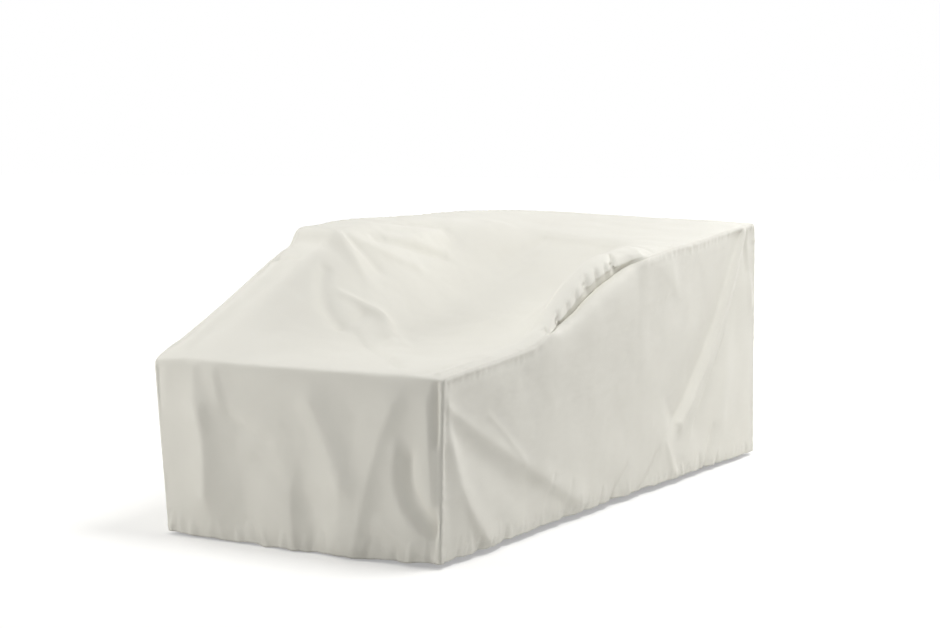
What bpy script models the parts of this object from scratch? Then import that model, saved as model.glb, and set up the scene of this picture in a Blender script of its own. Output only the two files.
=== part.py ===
"""Fitted fabric cover for a chaise lounge: three sewn panels, hanging as on the chaise.

Metres, +Z up, foot end towards -Y. The origin is the bottom centre of the cover's box.
Each panel is one length of cloth with its hem turned on it:
  centre_strip  up the foot end, over the top and down the back, in one length
  left_side     cut to the side's outline
  right_side    cut to the side's outline
The strip is worked out first. Its two long edges are the seams, and each side
panel is filled in between its seam and its hem.
"""

import bpy
import bmesh
import numpy as np

# --- driving sizes -----------------------------------------------------------------
LENGTH = 1.882              # foot face to back face, along the top
TOP_LEFT = -0.438           # X of the left edge of the top, before it is rounded
TOP_RIGHT = 0.418           # X of the right edge of the top, before it is rounded
HEM_LEFT = -0.408           # X of the left hem, which is drawn in
HEM_RIGHT = 0.403           # X of the right hem
FOOT_LEAN = 0.010           # how far the foot's hem is drawn in under its top edge
BACK_LEAN = -0.046          # the back's hem stands out past its top edge
CLOTH = 0.0020              # thickness of the coated cloth
SEAM_GAP = 0.0003           # each panel stops this far short of the seam line
SEAM_ROUND = 0.010          # how softly the cloth turns at the side seams
FOOT_ROUND = 0.016          # how softly it turns over the foot and back edges
EDGE_FADE = 0.040           # folds die away within this distance of a seam
SEAM_REACH = 0.020          # a side panel's wall eases onto the seam within this distance
END_REACH = 0.010           # cloth carried over an edge eases onto its seam within this
TOP_WIDTH = TOP_RIGHT - TOP_LEFT
# The move that brings the foot face from Y = 0 to its place.
CENTRE = (-0.5 * (TOP_LEFT + TOP_RIGHT), -0.5 * (LENGTH - BACK_LEAN), 0.0)

# --- the top -----------------------------------------------------------------------
# Height of the top above the lowest point of the hem, in metres. A row is a section
# across the cover, `y` behind the foot face; a column runs the length of the cover.
COLUMN_X = {
    "left": -0.438, "left_arm": -0.325, "left_rim": -0.250, "left_bay": -0.200,
    "middle": -0.020, "right_bay": 0.170, "right_arm": 0.290, "crest": 0.335,
    "brow": 0.378, "right": 0.418,
}
SECTIONS = (
    # y     left   l_arm  l_rim  l_bay  middle r_bay  r_arm  crest  brow   right
    (0.00, 0.445, 0.451, 0.450, 0.450, 0.450, 0.450, 0.451, 0.450, 0.449, 0.447),
    (0.12, 0.496, 0.494, 0.486, 0.477, 0.455, 0.451, 0.453, 0.455, 0.456, 0.455),
    (0.28, 0.569, 0.568, 0.543, 0.517, 0.458, 0.452, 0.456, 0.463, 0.467, 0.466),
    (0.43, 0.643, 0.643, 0.602, 0.560, 0.463, 0.455, 0.461, 0.474, 0.484, 0.482),
    (0.53, 0.692, 0.693, 0.642, 0.590, 0.471, 0.459, 0.470, 0.492, 0.506, 0.507),
    (0.58, 0.716, 0.717, 0.660, 0.604, 0.477, 0.463, 0.478, 0.510, 0.520, 0.513),
    (0.62, 0.750, 0.749, 0.676, 0.615, 0.483, 0.468, 0.490, 0.533, 0.538, 0.523),
    (0.70, 0.755, 0.753, 0.694, 0.634, 0.497, 0.480, 0.522, 0.584, 0.574, 0.546),
    (0.78, 0.762, 0.758, 0.705, 0.650, 0.513, 0.497, 0.558, 0.628, 0.612, 0.579),
    (0.90, 0.767, 0.761, 0.722, 0.662, 0.541, 0.528, 0.616, 0.668, 0.655, 0.621),
    (1.06, 0.767, 0.762, 0.744, 0.676, 0.578, 0.572, 0.664, 0.688, 0.682, 0.662),
    (1.15, 0.768, 0.762, 0.749, 0.716, 0.600, 0.606, 0.680, 0.691, 0.687, 0.674),
    (1.24, 0.768, 0.763, 0.751, 0.743, 0.634, 0.650, 0.692, 0.694, 0.691, 0.684),
    (1.32, 0.771, 0.764, 0.752, 0.748, 0.680, 0.694, 0.699, 0.698, 0.696, 0.692),
    (1.44, 0.773, 0.766, 0.754, 0.746, 0.720, 0.711, 0.706, 0.704, 0.702, 0.700),
    (1.65, 0.771, 0.768, 0.761, 0.759, 0.746, 0.735, 0.727, 0.725, 0.724, 0.723),
    (1.90, 0.766, 0.765, 0.763, 0.762, 0.757, 0.751, 0.747, 0.745, 0.743, 0.742),
)

# Height of the hem at three places along each edge: start, middle and end.
HEM_FOOT = (0.003, 0.000, 0.009)
HEM_BACK = (0.006, 0.010, 0.007)
HEM_SIDE_RISE = 0.006       # how much higher the hem of a side panel is in its middle

# How far the left seam has slipped onto the top along the slope of the left arm, from
# where to where, and over what length it comes and goes.
LEFT_SLIP = 0.016
SLIP_START, SLIP_END = 0.02, 0.66
SLIP_COMES, SLIP_GOES = 0.10, 0.12

# Beside the right arm the strip hangs over in a slack roll, and the right seam is drawn
# in under it, so that the side panel's cloth comes over the edge.
TUCK = 0.040
TUCK_START, TUCK_END = 0.49, 1.10
TUCK_COMES, TUCK_GOES = 0.16, 0.08
TUCK_STOP = 0.006           # the strip stops this far short of the seam in that groove
STOP_START, STOP_END = 0.44, 1.16
STOP_EASE = 0.06
SHOULDER_ROUND = 0.7        # how softly the side comes over the edge, in shares of the tuck
GROOVE_ROUND = 0.35         # how softly it then goes down to the seam
ROLL_WIDTH = 0.036          # from the roll's crest to the seam
# The roll from its crest (0) to the seam (1): how far it stands out past an even run,
# and how far it has dropped.
ROLL_STOPS = (0.0, 0.30, 0.50, 0.70, 0.80, 1.0)
ROLL_OUT = (0.0, 0.004, 0.012, 0.013, 0.003, -0.004)
ROLL_DROP = (0.0, 0.003, 0.009, 0.024, 0.031, 0.048)

# --- folds -------------------------------------------------------------------------
# A fold is a soft ridge (height > 0) or trough (height < 0) along a line whose middle
# bows to the left of its run. `spread` is its width at the end against that at the start;
# as it widens it stands out more. On the strip a place is (X, along), where `along` is
# the distance behind the foot edge: negative down the foot face, past LENGTH down the
# back. On a side panel a place is (Y behind the foot face, Z above the hem).
FOLD_COLUMNS = ("from_a", "from_b", "to_a", "to_b", "bow", "width", "spread", "height")
STRIP_FOLDS = (
    # the foot face, from left to right
    (-0.284, -0.120, -0.274, -0.340, 0.006, 0.050, 1.2, 0.016),
    (-0.170, -0.200, -0.150, -0.380, 0.000, 0.050, 1.1, -0.007),
    (-0.110, -0.240, 0.030, -0.335, 0.000, 0.030, 1.0, -0.006),
    (-0.020, -0.300, -0.010, -0.440, 0.000, 0.040, 1.3, 0.009),
    (0.020, -0.260, 0.060, -0.430, 0.000, 0.034, 1.2, -0.007),
    (0.050, -0.085, 0.140, -0.270, 0.000, 0.044, 1.0, 0.013),
    (0.140, -0.270, 0.120, -0.430, 0.000, 0.040, 1.2, 0.009),
    (0.283, -0.075, 0.176, -0.420, -0.012, 0.048, 1.2, 0.015),
    (0.282, -0.170, 0.362, -0.375, -0.045, 0.026, 1.4, 0.010),
    (0.320, -0.185, 0.390, -0.350, -0.034, 0.024, 1.2, -0.013),
    (0.374, -0.060, 0.384, -0.300, 0.000, 0.026, 1.0, 0.007),
    (0.250, -0.365, 0.330, -0.405, 0.000, 0.030, 1.0, 0.007),
    # the slope up the left arm and the dent at its foot
    (-0.385, 0.060, -0.385, 0.460, 0.000, 0.024, 1.0, 0.004),
    (-0.410, 0.415, -0.280, 0.375, 0.000, 0.030, 1.2, -0.004),
    (-0.258, 0.515, -0.140, 0.400, -0.024, 0.025, 1.2, -0.011),
    (-0.130, 0.380, -0.124, 0.520, -0.006, 0.024, 1.0, -0.008),
    (-0.125, 0.548, 0.035, 0.405, 0.014, 0.025, 1.2, 0.011),
    (0.015, 0.430, 0.185, 0.180, 0.000, 0.032, 1.2, 0.007),
    (-0.102, 0.420, 0.240, 0.095, 0.010, 0.024, 1.2, -0.007),
    # fanning from the left arm over the hollow
    (-0.280, 0.665, -0.180, 0.830, 0.000, 0.024, 1.3, 0.008),
    (-0.264, 0.745, -0.180, 0.995, 0.000, 0.024, 1.3, -0.010),
    (-0.320, 0.860, -0.262, 1.010, 0.000, 0.024, 1.3, -0.010),
    (-0.105, 1.170, -0.050, 1.350, 0.000, 0.024, 1.2, -0.006),
    (0.020, 0.600, 0.100, 0.800, 0.000, 0.026, 1.2, 0.005),
    # the back
    (-0.370, 1.950, -0.160, 2.560, -0.020, 0.035, 1.5, 0.014),
    (-0.300, 2.100, -0.320, 2.600, 0.000, 0.035, 1.3, -0.011),
    (-0.020, 2.120, 0.040, 2.600, 0.000, 0.045, 1.2, -0.010),
    (0.360, 1.960, 0.170, 2.580, 0.020, 0.032, 1.5, 0.013),
    (0.320, 2.200, 0.300, 2.600, 0.000, 0.032, 1.2, -0.011),
)
RIGHT_FOLDS = (
    # fanning from the foot's top corner
    (0.022, 0.390, 0.225, 0.020, -0.040, 0.024, 2.0, 0.012),
    (0.018, 0.345, 0.430, 0.120, -0.010, 0.024, 2.5, -0.013),
    (0.020, 0.378, 0.700, 0.045, -0.006, 0.024, 2.1, 0.008),
    (0.430, 0.145, 0.700, 0.010, 0.000, 0.026, 1.5, -0.006),
    # under the arm, where the wall is hollow and then flares to the hem
    (0.100, 0.290, 0.900, 0.270, 0.000, 0.120, 1.2, -0.006),
    (0.550, 0.450, 1.000, 0.580, 0.010, 0.070, 1.4, 0.003),
    (1.120, 0.655, 1.240, 0.600, 0.020, 0.045, 1.0, 0.003),
    # falling from the back's top corner
    (1.790, 0.728, 1.320, 0.165, 0.030, 0.030, 1.6, 0.018),
    (1.740, 0.728, 1.270, 0.200, 0.030, 0.045, 1.4, -0.012),
    (1.820, 0.640, 1.500, 0.150, 0.030, 0.040, 1.4, -0.008),
    (1.700, 0.380, 1.640, 0.150, 0.000, 0.040, 1.3, 0.006),
    # short ones drawn up from the hem
    (0.985, 0.095, 0.900, 0.005, 0.000, 0.024, 1.5, -0.008),
    (1.195, 0.110, 1.095, 0.005, 0.000, 0.024, 1.5, -0.009),
    (1.590, 0.130, 1.535, 0.005, 0.000, 0.024, 1.3, -0.008),
    (0.560, 0.130, 0.505, 0.010, 0.000, 0.024, 1.4, -0.006),
)
LEFT_FOLDS = (
    (0.03, 0.40, 0.16, 0.02, 0.020, 0.026, 1.3, 0.013),
    (0.04, 0.33, 0.34, 0.03, -0.010, 0.030, 1.6, -0.014),
    (0.62, 0.71, 0.40, 0.03, 0.020, 0.030, 1.5, 0.014),
    (0.66, 0.62, 0.56, 0.04, 0.010, 0.036, 1.5, -0.012),
    (1.05, 0.60, 0.92, 0.03, -0.010, 0.045, 1.3, -0.009),
    (1.28, 0.66, 1.22, 0.06, 0.000, 0.060, 1.2, 0.007),
    (1.80, 0.74, 1.42, 0.03, 0.020, 0.028, 1.4, 0.015),
    (1.78, 0.60, 1.62, 0.04, 0.010, 0.034, 1.3, -0.011),
)

# --- where the panels' rows and columns lie ----------------------------------------
DROP_ROWS = (0.0, 0.10, 0.22, 0.34, 0.46, 0.58, 0.70, 0.80, 0.87, 0.92, 0.955, 0.982, 1.0)
EDGE_ROWS = (0.0, 0.012, 0.034)
TOP_STEP = 0.060
STRIP_COLUMNS = (
    0.0, 0.014, 0.050, 0.105, 0.160, 0.215, 0.270, 0.325, 0.380, 0.435, 0.495, 0.555,
    0.615, 0.675, 0.740, 0.800, 0.860, 0.900, 0.930, 0.956, 0.969, 0.978, 0.987, 0.9915,
    1.0,
)

CLOTH_COLOUR = (0.80, 0.78, 0.71, 1.0)
CLOTH_ROUGHNESS = 0.75


# --- curves ------------------------------------------------------------------------
def soften(distance, roundness):
    """Distance where it is well above nought, nought well below, and a soft turn between."""
    return 0.5 * (distance + np.sqrt(distance**2 + roundness**2))


def ease(share):
    """A smooth step from 0 to 1."""
    share = np.clip(share, 0.0, 1.0)
    return share * share * (3.0 - 2.0 * share)


def smooth_curve(knots, values, at):
    """Smooth curve through values (knots first) that never overshoots them, read at `at`.

    `values` has one entry a knot, each a number or an array shaped like `at`.
    """
    knots = np.asarray(knots, float)
    values = np.array(np.broadcast_arrays(*[np.asarray(v, float) for v in values]))
    steps = np.diff(knots).reshape((-1,) + (1,) * (values.ndim - 1))
    slopes = np.diff(values, axis=0) / steps
    before, after = slopes[:-1], slopes[1:]
    product = before * after
    total = np.where(np.abs(before + after) < 1e-12, 1.0, before + after)
    inner = np.where(product > 0.0, 2.0 * product / total, 0.0)
    tangents = np.concatenate([slopes[:1], inner, slopes[-1:]])
    at = np.asarray(at, float)
    first = np.clip(np.searchsorted(knots, at, side="right") - 1, 0, len(knots) - 2)
    width = knots[first + 1] - knots[first]
    share = np.clip((at - knots[first]) / width, 0.0, 1.0)

    def pick(table, index):
        if table.ndim == 1:
            return table[index]
        return np.take_along_axis(table, index[None], axis=0)[0]

    low, high = pick(values, first), pick(values, first + 1)
    rise_low, rise_high = pick(tangents, first) * width, pick(tangents, first + 1) * width
    return (
        low * (2.0 * share**3 - 3.0 * share**2 + 1.0)
        + rise_low * (share**3 - 2.0 * share**2 + share)
        + high * (3.0 * share**2 - 2.0 * share**3)
        + rise_high * (share**3 - share**2)
    )


def fold_relief(folds, a, b):
    """How far the folds lift the cloth off its plain surface at places (a, b)."""
    relief = np.zeros(np.broadcast(a, b).shape)
    for row in folds:
        fold = dict(zip(FOLD_COLUMNS, row))
        run_a, run_b = fold["to_a"] - fold["from_a"], fold["to_b"] - fold["from_b"]
        length = np.hypot(run_a, run_b)
        off_a, off_b = a - fold["from_a"], b - fold["from_b"]
        share = (off_a * run_a + off_b * run_b) / length**2
        inside = np.clip(share, 0.0, 1.0)
        aside = (off_b * run_a - off_a * run_b) / length
        aside = aside - 4.0 * fold["bow"] * inside * (1.0 - inside)
        beyond = (share - inside) * length
        widening = 1.0 + (fold["spread"] - 1.0) * inside
        width = fold["width"] * widening
        height = fold["height"] * widening / fold["spread"]
        relief += height * np.exp(-(aside**2 + beyond**2) / width**2)
    return relief


# --- the strip ---------------------------------------------------------------------
def top_height(x, y):
    """Height of the top at a place, from the sections."""
    table = np.array(SECTIONS)
    columns = [smooth_curve(table[:, 0], table[:, n + 1], y) for n in range(len(COLUMN_X))]
    return smooth_curve(tuple(COLUMN_X.values()), columns, x)


def hem_height(marks, share):
    """Height of the hem along an edge, through its three marks."""
    return smooth_curve((0.0, 0.5, 1.0), marks, share)


def level_share(turn):
    """Height along the strip as a share: 0 at a hem, 1 on the top."""
    return np.clip(np.minimum(1.0 + turn, 2.0 - turn), 0.0, 1.0)


def slipping(over):
    """How fully the left seam has slipped, `over` behind the foot edge."""
    return ease((over - SLIP_START) / SLIP_COMES) * ease((SLIP_END - over) / SLIP_GOES)


def tucking(over):
    """How fully the right seam is drawn in, `over` behind the foot edge."""
    return ease((over - TUCK_START) / TUCK_COMES) * ease((TUCK_END - over) / TUCK_GOES)


def strip_surface(share, turn, squared=False):
    """A place on the strip's plain surface, and its (across, along) for the folds.

    `share` runs from the left seam (0) to the right seam (1). `turn` runs from the foot
    hem (-1) to the foot edge (0), the back edge (1) and the back hem (2). If `squared`,
    both seams are taken as still on the chaise's own edges.
    """
    level = level_share(turn)
    left = HEM_LEFT + (TOP_LEFT - HEM_LEFT) * level
    right = HEM_RIGHT + (TOP_RIGHT - HEM_RIGHT) * level
    over = np.clip(turn, 0.0, 1.0) * LENGTH
    astray = 0.0 if squared else 1.0
    slipped = astray * LEFT_SLIP * slipping(over)
    drawn_in = astray * tucking(over)
    tucked = TUCK * drawn_in
    inward = slipped + share * (right - left - slipped - tucked)
    past = inward - (right - left - tucked)
    x = left + soften(inward, SEAM_ROUND) - soften(past, SEAM_ROUND)
    turned = soften(-inward, SEAM_ROUND) + soften(past, SEAM_ROUND)

    foot_drop = top_height(x, 0.0 * x) - hem_height(HEM_FOOT, share)
    back_drop = top_height(x, 0.0 * x + LENGTH) - hem_height(HEM_BACK, share)
    along = over + np.minimum(turn, 0.0) * foot_drop + np.maximum(turn - 1.0, 0.0) * back_drop

    down_foot = soften(-along, FOOT_ROUND)
    past_foot = soften(along, FOOT_ROUND)
    down_back = soften(along - LENGTH, FOOT_ROUND)
    behind = past_foot - down_back
    z = top_height(x, behind) - down_foot - down_back
    y = behind + FOOT_LEAN * down_foot / foot_drop - BACK_LEAN * down_back / back_drop
    under = np.clip(1.0 + past / ROLL_WIDTH, 0.0, 1.0)
    z = z - drawn_in * smooth_curve(ROLL_STOPS, ROLL_DROP, under)

    # The way along the strip at this place, whose normal the rounded side edge follows.
    onto_top = 0.5 * (1.0 + along / np.hypot(along, FOOT_ROUND))
    off_top = 0.5 * (1.0 + (along - LENGTH) / np.hypot(along - LENGTH, FOOT_ROUND))
    nudge = 0.002
    slope = (top_height(x, behind + nudge) - top_height(x, behind - nudge)) / (2.0 * nudge)
    way_y = onto_top - off_top
    way_z = slope * way_y + (1.0 - onto_top) - off_top
    size = np.hypot(way_y, way_z)
    y = y + turned * way_z / size
    z = z - turned * way_y / size
    x = x + drawn_in * smooth_curve(ROLL_STOPS, ROLL_OUT, under)
    return np.stack([x, y, z], axis=-1), along


def surface_normal(surface, share, turn):
    """Outward normal of a surface, from places a little to each side."""
    nudge = 0.0008
    across = surface(share + nudge, turn)[0] - surface(share - nudge, turn)[0]
    along = surface(share, turn + nudge)[0] - surface(share, turn - nudge)[0]
    normal = np.cross(across, along)
    return normal / np.linalg.norm(normal, axis=-1, keepdims=True)


def strip_points(share, turn):
    """Places on the strip with its folds."""
    over = np.clip(turn, 0.0, 1.0) * LENGTH
    short = TUCK_STOP * ease((over - STOP_START) / STOP_EASE) * ease((STOP_END - over) / STOP_EASE)
    share = share * (1.0 - short / TOP_WIDTH)
    base, along = strip_surface(share, turn)
    to_seam = np.minimum(share, 1.0 - share) * TOP_WIDTH
    relief = fold_relief(STRIP_FOLDS, base[..., 0], along) * ease(to_seam / EDGE_FADE)
    return base + surface_normal(strip_surface, share, turn) * relief[..., None]


# --- a side panel ------------------------------------------------------------------
def wall_x(sign, up, place, foot, top, back):
    """X of a side's plain wall at a place, turned in towards its foot, top and back seams.

    `foot`, `top` and `back` are the seam places level with it or above it.
    """
    gaps = (
        np.maximum(place[..., 1] - foot[..., 1], 0.0),
        np.maximum(top[..., 2] - place[..., 2], 0.0),
        np.maximum(back[..., 1] - place[..., 1], 0.0),
    )
    half_round = 0.5 * SEAM_ROUND
    turned_in = half_round**2 * sum(1.0 / (gap + half_round) for gap in gaps)
    low, high = (HEM_LEFT, TOP_LEFT) if sign < 0 else (HEM_RIGHT, TOP_RIGHT)
    wall = low + (high - low) * up
    return wall - sign * turned_in, gaps


def carry_over(sign, place, edge, seam, hem):
    """Carry a wall over the top edge to a seam that has strayed inwards from that edge.

    `place` holds places on the wall as if its seam were on the edge, and is changed.
    Returns how far each place is from the seam, along the cloth.
    """
    inward = np.maximum(-sign * (seam[..., 0] - edge[..., 0]), 1e-6)
    sunk = np.maximum(edge[..., 2] - seam[..., 2], 0.0)
    reach = inward + sunk
    fall = edge[..., 2] - place[..., 2]
    past = reach - fall * (1.0 + reach / (edge[..., 2] - hem[..., 2]))
    outer, inner = SHOULDER_ROUND * inward, GROOVE_ROUND * inward
    over, down = soften(past, outer), soften(past - inward, inner)
    end_in = soften(reach, outer) - soften(sunk, inner)
    end_down = soften(-reach, outer) + soften(sunk, inner)
    at_seam = np.exp(-(reach - past) / END_REACH)
    place[..., 0] -= sign * (over - down) * inward / end_in
    place[..., 2] = edge[..., 2] - soften(-past, outer) - down
    place[..., 2] += at_seam * (end_down - sunk)
    place[..., 1] += at_seam * (seam[..., 1] - edge[..., 1])
    return reach - past


def side_points(sign, folds, along, up):
    """Places on a side panel: `along` from foot (0) to back (1), `up` from hem to seam (1).

    The outline is filled in between the top edge and the hem, the wall is set to meet the
    edge all the way round, and then the cloth is carried over it to the seam.
    """
    step = SEAM_GAP / TOP_WIDTH
    seam = np.full(up.shape, -step if sign < 0 else 1.0 + step)
    level = np.ones(up.shape)
    foot = strip_surface(seam, up - 1.0)[0]
    top = strip_surface(seam, along, squared=True)[0]
    back = strip_surface(seam, 2.0 - up)[0]
    foot_hem = strip_surface(seam, -level)[0]
    foot_top = strip_surface(seam, 0.0 * level)[0]
    back_top = strip_surface(seam, level)[0]
    back_hem = strip_surface(seam, 2.0 * level)[0]

    u, v = along[..., None], up[..., None]
    hem = foot_hem + (back_hem - foot_hem) * u
    hem[..., 2] += HEM_SIDE_RISE * np.sin(np.pi * along)
    low_corners = (1.0 - u) * foot_hem + u * back_hem
    high_corners = (1.0 - u) * foot_top + u * back_top
    sides = (1.0 - u) * foot + u * back
    place = sides + (1.0 - v) * (hem - low_corners) + v * (top - high_corners)

    wall, gaps = wall_x(sign, up, place, foot, top, back)
    miss_foot = foot[..., 0] - wall_x(sign, up, foot, foot, foot_top, back)[0]
    miss_top = top[..., 0] - wall_x(sign, level, top, foot_top, top, back_top)[0]
    miss_back = back[..., 0] - wall_x(sign, up, back, foot, back_top, back)[0]
    at_foot_top = wall_x(sign, level, foot_top, foot_top, foot_top, back_top)[0]
    at_back_top = wall_x(sign, level, back_top, foot_top, back_top, back_top)[0]
    by_foot, by_top, by_back = (np.exp(-gap / SEAM_REACH) for gap in gaps)
    place[..., 0] = wall + (
        by_foot * (miss_foot - by_top * (foot_top[..., 0] - at_foot_top))
        + by_back * (miss_back - by_top * (back_top[..., 0] - at_back_top))
        + by_top * miss_top
    )

    to_top = carry_over(sign, place, top, strip_surface(seam, along)[0], hem)
    to_seam = np.minimum(np.minimum(gaps[0], to_top), gaps[2])
    relief = fold_relief(folds, place[..., 1], place[..., 2])
    place[..., 0] += sign * relief * ease(to_seam / EDGE_FADE)
    return place


# --- building ----------------------------------------------------------------------
def top_rows():
    """Shares along the top at which every panel has a row, closer at both edges."""
    inner = np.linspace(EDGE_ROWS[-1], LENGTH - EDGE_ROWS[-1], round(LENGTH / TOP_STEP))
    ends = np.array(EDGE_ROWS[:-1])
    return np.concatenate([ends, inner, LENGTH - ends[::-1]]) / LENGTH


def cloth_material(name):
    """The plain coated cloth of one panel."""
    material = bpy.data.materials.new(name)
    material.use_nodes = True
    shader = material.node_tree.nodes["Principled BSDF"]
    shader.inputs["Base Color"].default_value = CLOTH_COLOUR
    shader.inputs["Roughness"].default_value = CLOTH_ROUGHNESS
    shader.inputs["Metallic"].default_value = 0.0
    return material


def add_panel(name, places, collection, flip=False):
    """One panel: a grid set on its places (rows, columns), given the cloth's thickness."""
    rows, columns = places.shape[:2]
    mesh = bpy.data.meshes.new(name)
    grid = bmesh.new()
    bmesh.ops.create_grid(grid, x_segments=columns - 1, y_segments=rows - 1, size=1.0)
    for vertex, place in zip(grid.verts, places.reshape(-1, 3)):
        vertex.co = place + CENTRE
    if flip:
        bmesh.ops.reverse_faces(grid, faces=grid.faces[:])
    grid.to_mesh(mesh)
    grid.free()
    mesh.shade_smooth()
    panel = bpy.data.objects.new(name, mesh)
    panel.data.materials.append(cloth_material(name + "_cloth"))
    collection.objects.link(panel)
    shell = panel.modifiers.new("thickness", "SOLIDIFY")
    shell.thickness = CLOTH
    shell.offset = 1.0
    return panel


def main():
    """Clear the scene and build the three panels."""
    for old in list(bpy.data.objects):
        bpy.data.objects.remove(old, do_unlink=True)
    collection = bpy.data.collections.new("chaise_lounge_cover")
    bpy.context.scene.collection.children.link(collection)

    over = top_rows()
    drop = np.array(DROP_ROWS)
    turns = np.concatenate([drop - 1.0, over[1:-1], 2.0 - drop[::-1]])
    share, turn = np.meshgrid(np.array(STRIP_COLUMNS), turns)
    add_panel("centre_strip", strip_points(share, turn), collection)

    along, up = np.meshgrid(over, drop)
    add_panel("left_side", side_points(-1.0, LEFT_FOLDS, along, up), collection, flip=True)
    add_panel("right_side", side_points(1.0, RIGHT_FOLDS, along, up), collection)


main()
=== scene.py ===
"""Looks of a fitted chaise lounge cover: three sewn panels of coated off-white cloth.

Metres, +Z up, the foot end towards -Y, the origin under the middle of the cover. Each
panel hangs on its solid's folds, with the finer creases, seam puckers, drawn-in hem,
stitching and weave that the solids leave out.
"""

from __future__ import annotations

import logging
import math
from dataclasses import dataclass
from enum import Enum
from typing import Sequence

import bmesh
import bpy
import numpy as np
from mathutils import Matrix, Vector


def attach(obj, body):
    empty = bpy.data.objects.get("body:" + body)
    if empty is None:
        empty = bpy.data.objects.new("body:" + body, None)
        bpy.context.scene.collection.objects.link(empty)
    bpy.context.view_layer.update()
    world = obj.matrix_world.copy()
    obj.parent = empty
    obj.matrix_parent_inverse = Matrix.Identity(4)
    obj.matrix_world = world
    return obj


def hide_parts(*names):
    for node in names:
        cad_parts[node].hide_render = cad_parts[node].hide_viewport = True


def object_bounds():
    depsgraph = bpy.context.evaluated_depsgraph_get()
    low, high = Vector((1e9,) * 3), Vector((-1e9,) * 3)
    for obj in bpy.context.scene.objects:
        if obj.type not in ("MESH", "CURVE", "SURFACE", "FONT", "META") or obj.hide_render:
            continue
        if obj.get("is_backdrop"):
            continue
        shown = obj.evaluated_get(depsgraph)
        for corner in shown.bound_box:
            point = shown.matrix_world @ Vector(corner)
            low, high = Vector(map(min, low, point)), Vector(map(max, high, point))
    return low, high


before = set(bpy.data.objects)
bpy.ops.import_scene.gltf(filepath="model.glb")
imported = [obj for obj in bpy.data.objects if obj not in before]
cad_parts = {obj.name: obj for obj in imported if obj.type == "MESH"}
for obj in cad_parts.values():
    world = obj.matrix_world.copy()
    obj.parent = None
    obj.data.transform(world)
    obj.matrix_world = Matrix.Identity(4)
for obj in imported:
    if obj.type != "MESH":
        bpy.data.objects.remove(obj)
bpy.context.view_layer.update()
LOG = logging.getLogger("chaise_lounge_cover")

Array = np.ndarray
Triple = tuple[float, float, float]

# Sections of the top. A row is a section across the cover, `y` behind the foot face;
# then its height above the hem's lowest point at each of the columns' places across.
COLUMN_X = (-0.438, -0.325, -0.250, -0.200, -0.020, 0.170, 0.290, 0.335, 0.378, 0.418)
SECTIONS = (
    # y     left   l_arm  l_rim  l_bay  middle r_bay  r_arm  crest  brow   right
    (0.00, 0.441, 0.448, 0.447, 0.447, 0.447, 0.447, 0.448, 0.447, 0.446, 0.444),
    (0.12, 0.496, 0.494, 0.486, 0.477, 0.455, 0.451, 0.453, 0.455, 0.456, 0.455),
    (0.28, 0.569, 0.568, 0.543, 0.517, 0.458, 0.452, 0.456, 0.463, 0.467, 0.466),
    (0.43, 0.643, 0.643, 0.602, 0.560, 0.463, 0.455, 0.461, 0.474, 0.484, 0.482),
    (0.53, 0.690, 0.690, 0.642, 0.590, 0.471, 0.459, 0.470, 0.492, 0.506, 0.507),
    (0.58, 0.708, 0.707, 0.660, 0.604, 0.477, 0.463, 0.478, 0.510, 0.520, 0.513),
    (0.62, 0.749, 0.747, 0.680, 0.615, 0.483, 0.468, 0.490, 0.533, 0.538, 0.523),
    (0.64, 0.752, 0.750, 0.684, 0.620, 0.486, 0.471, 0.497, 0.546, 0.548, 0.528),
    (0.70, 0.755, 0.753, 0.694, 0.634, 0.497, 0.480, 0.522, 0.584, 0.574, 0.546),
    (0.78, 0.762, 0.758, 0.705, 0.650, 0.513, 0.497, 0.558, 0.628, 0.612, 0.579),
    (0.90, 0.767, 0.761, 0.722, 0.662, 0.541, 0.528, 0.616, 0.668, 0.655, 0.621),
    (1.06, 0.767, 0.762, 0.744, 0.676, 0.578, 0.572, 0.664, 0.688, 0.682, 0.662),
    (1.15, 0.768, 0.762, 0.749, 0.716, 0.600, 0.606, 0.680, 0.691, 0.687, 0.674),
    (1.24, 0.768, 0.763, 0.751, 0.743, 0.634, 0.650, 0.692, 0.694, 0.691, 0.684),
    (1.32, 0.771, 0.764, 0.752, 0.748, 0.680, 0.694, 0.699, 0.698, 0.696, 0.692),
    (1.38, 0.772, 0.765, 0.752, 0.743, 0.714, 0.706, 0.701, 0.700, 0.698, 0.695),
    (1.44, 0.773, 0.766, 0.754, 0.746, 0.720, 0.711, 0.706, 0.704, 0.702, 0.700),
    (1.65, 0.771, 0.768, 0.759, 0.755, 0.738, 0.730, 0.725, 0.723, 0.722, 0.721),
    (1.90, 0.766, 0.765, 0.763, 0.762, 0.757, 0.751, 0.747, 0.745, 0.743, 0.742),
)
# How the strip turns under the roll along the right arm, from the roll's crest (0) to its
# seam (1): how far it stands out past an even run, and how far it has dropped.
ROLL_STOPS = (0.0, 0.30, 0.50, 0.70, 0.80, 1.0)
ROLL_OUT = (0.0, 0.004, 0.012, 0.013, 0.003, -0.004)
ROLL_DROP = (0.0, 0.003, 0.009, 0.024, 0.031, 0.048)

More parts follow.
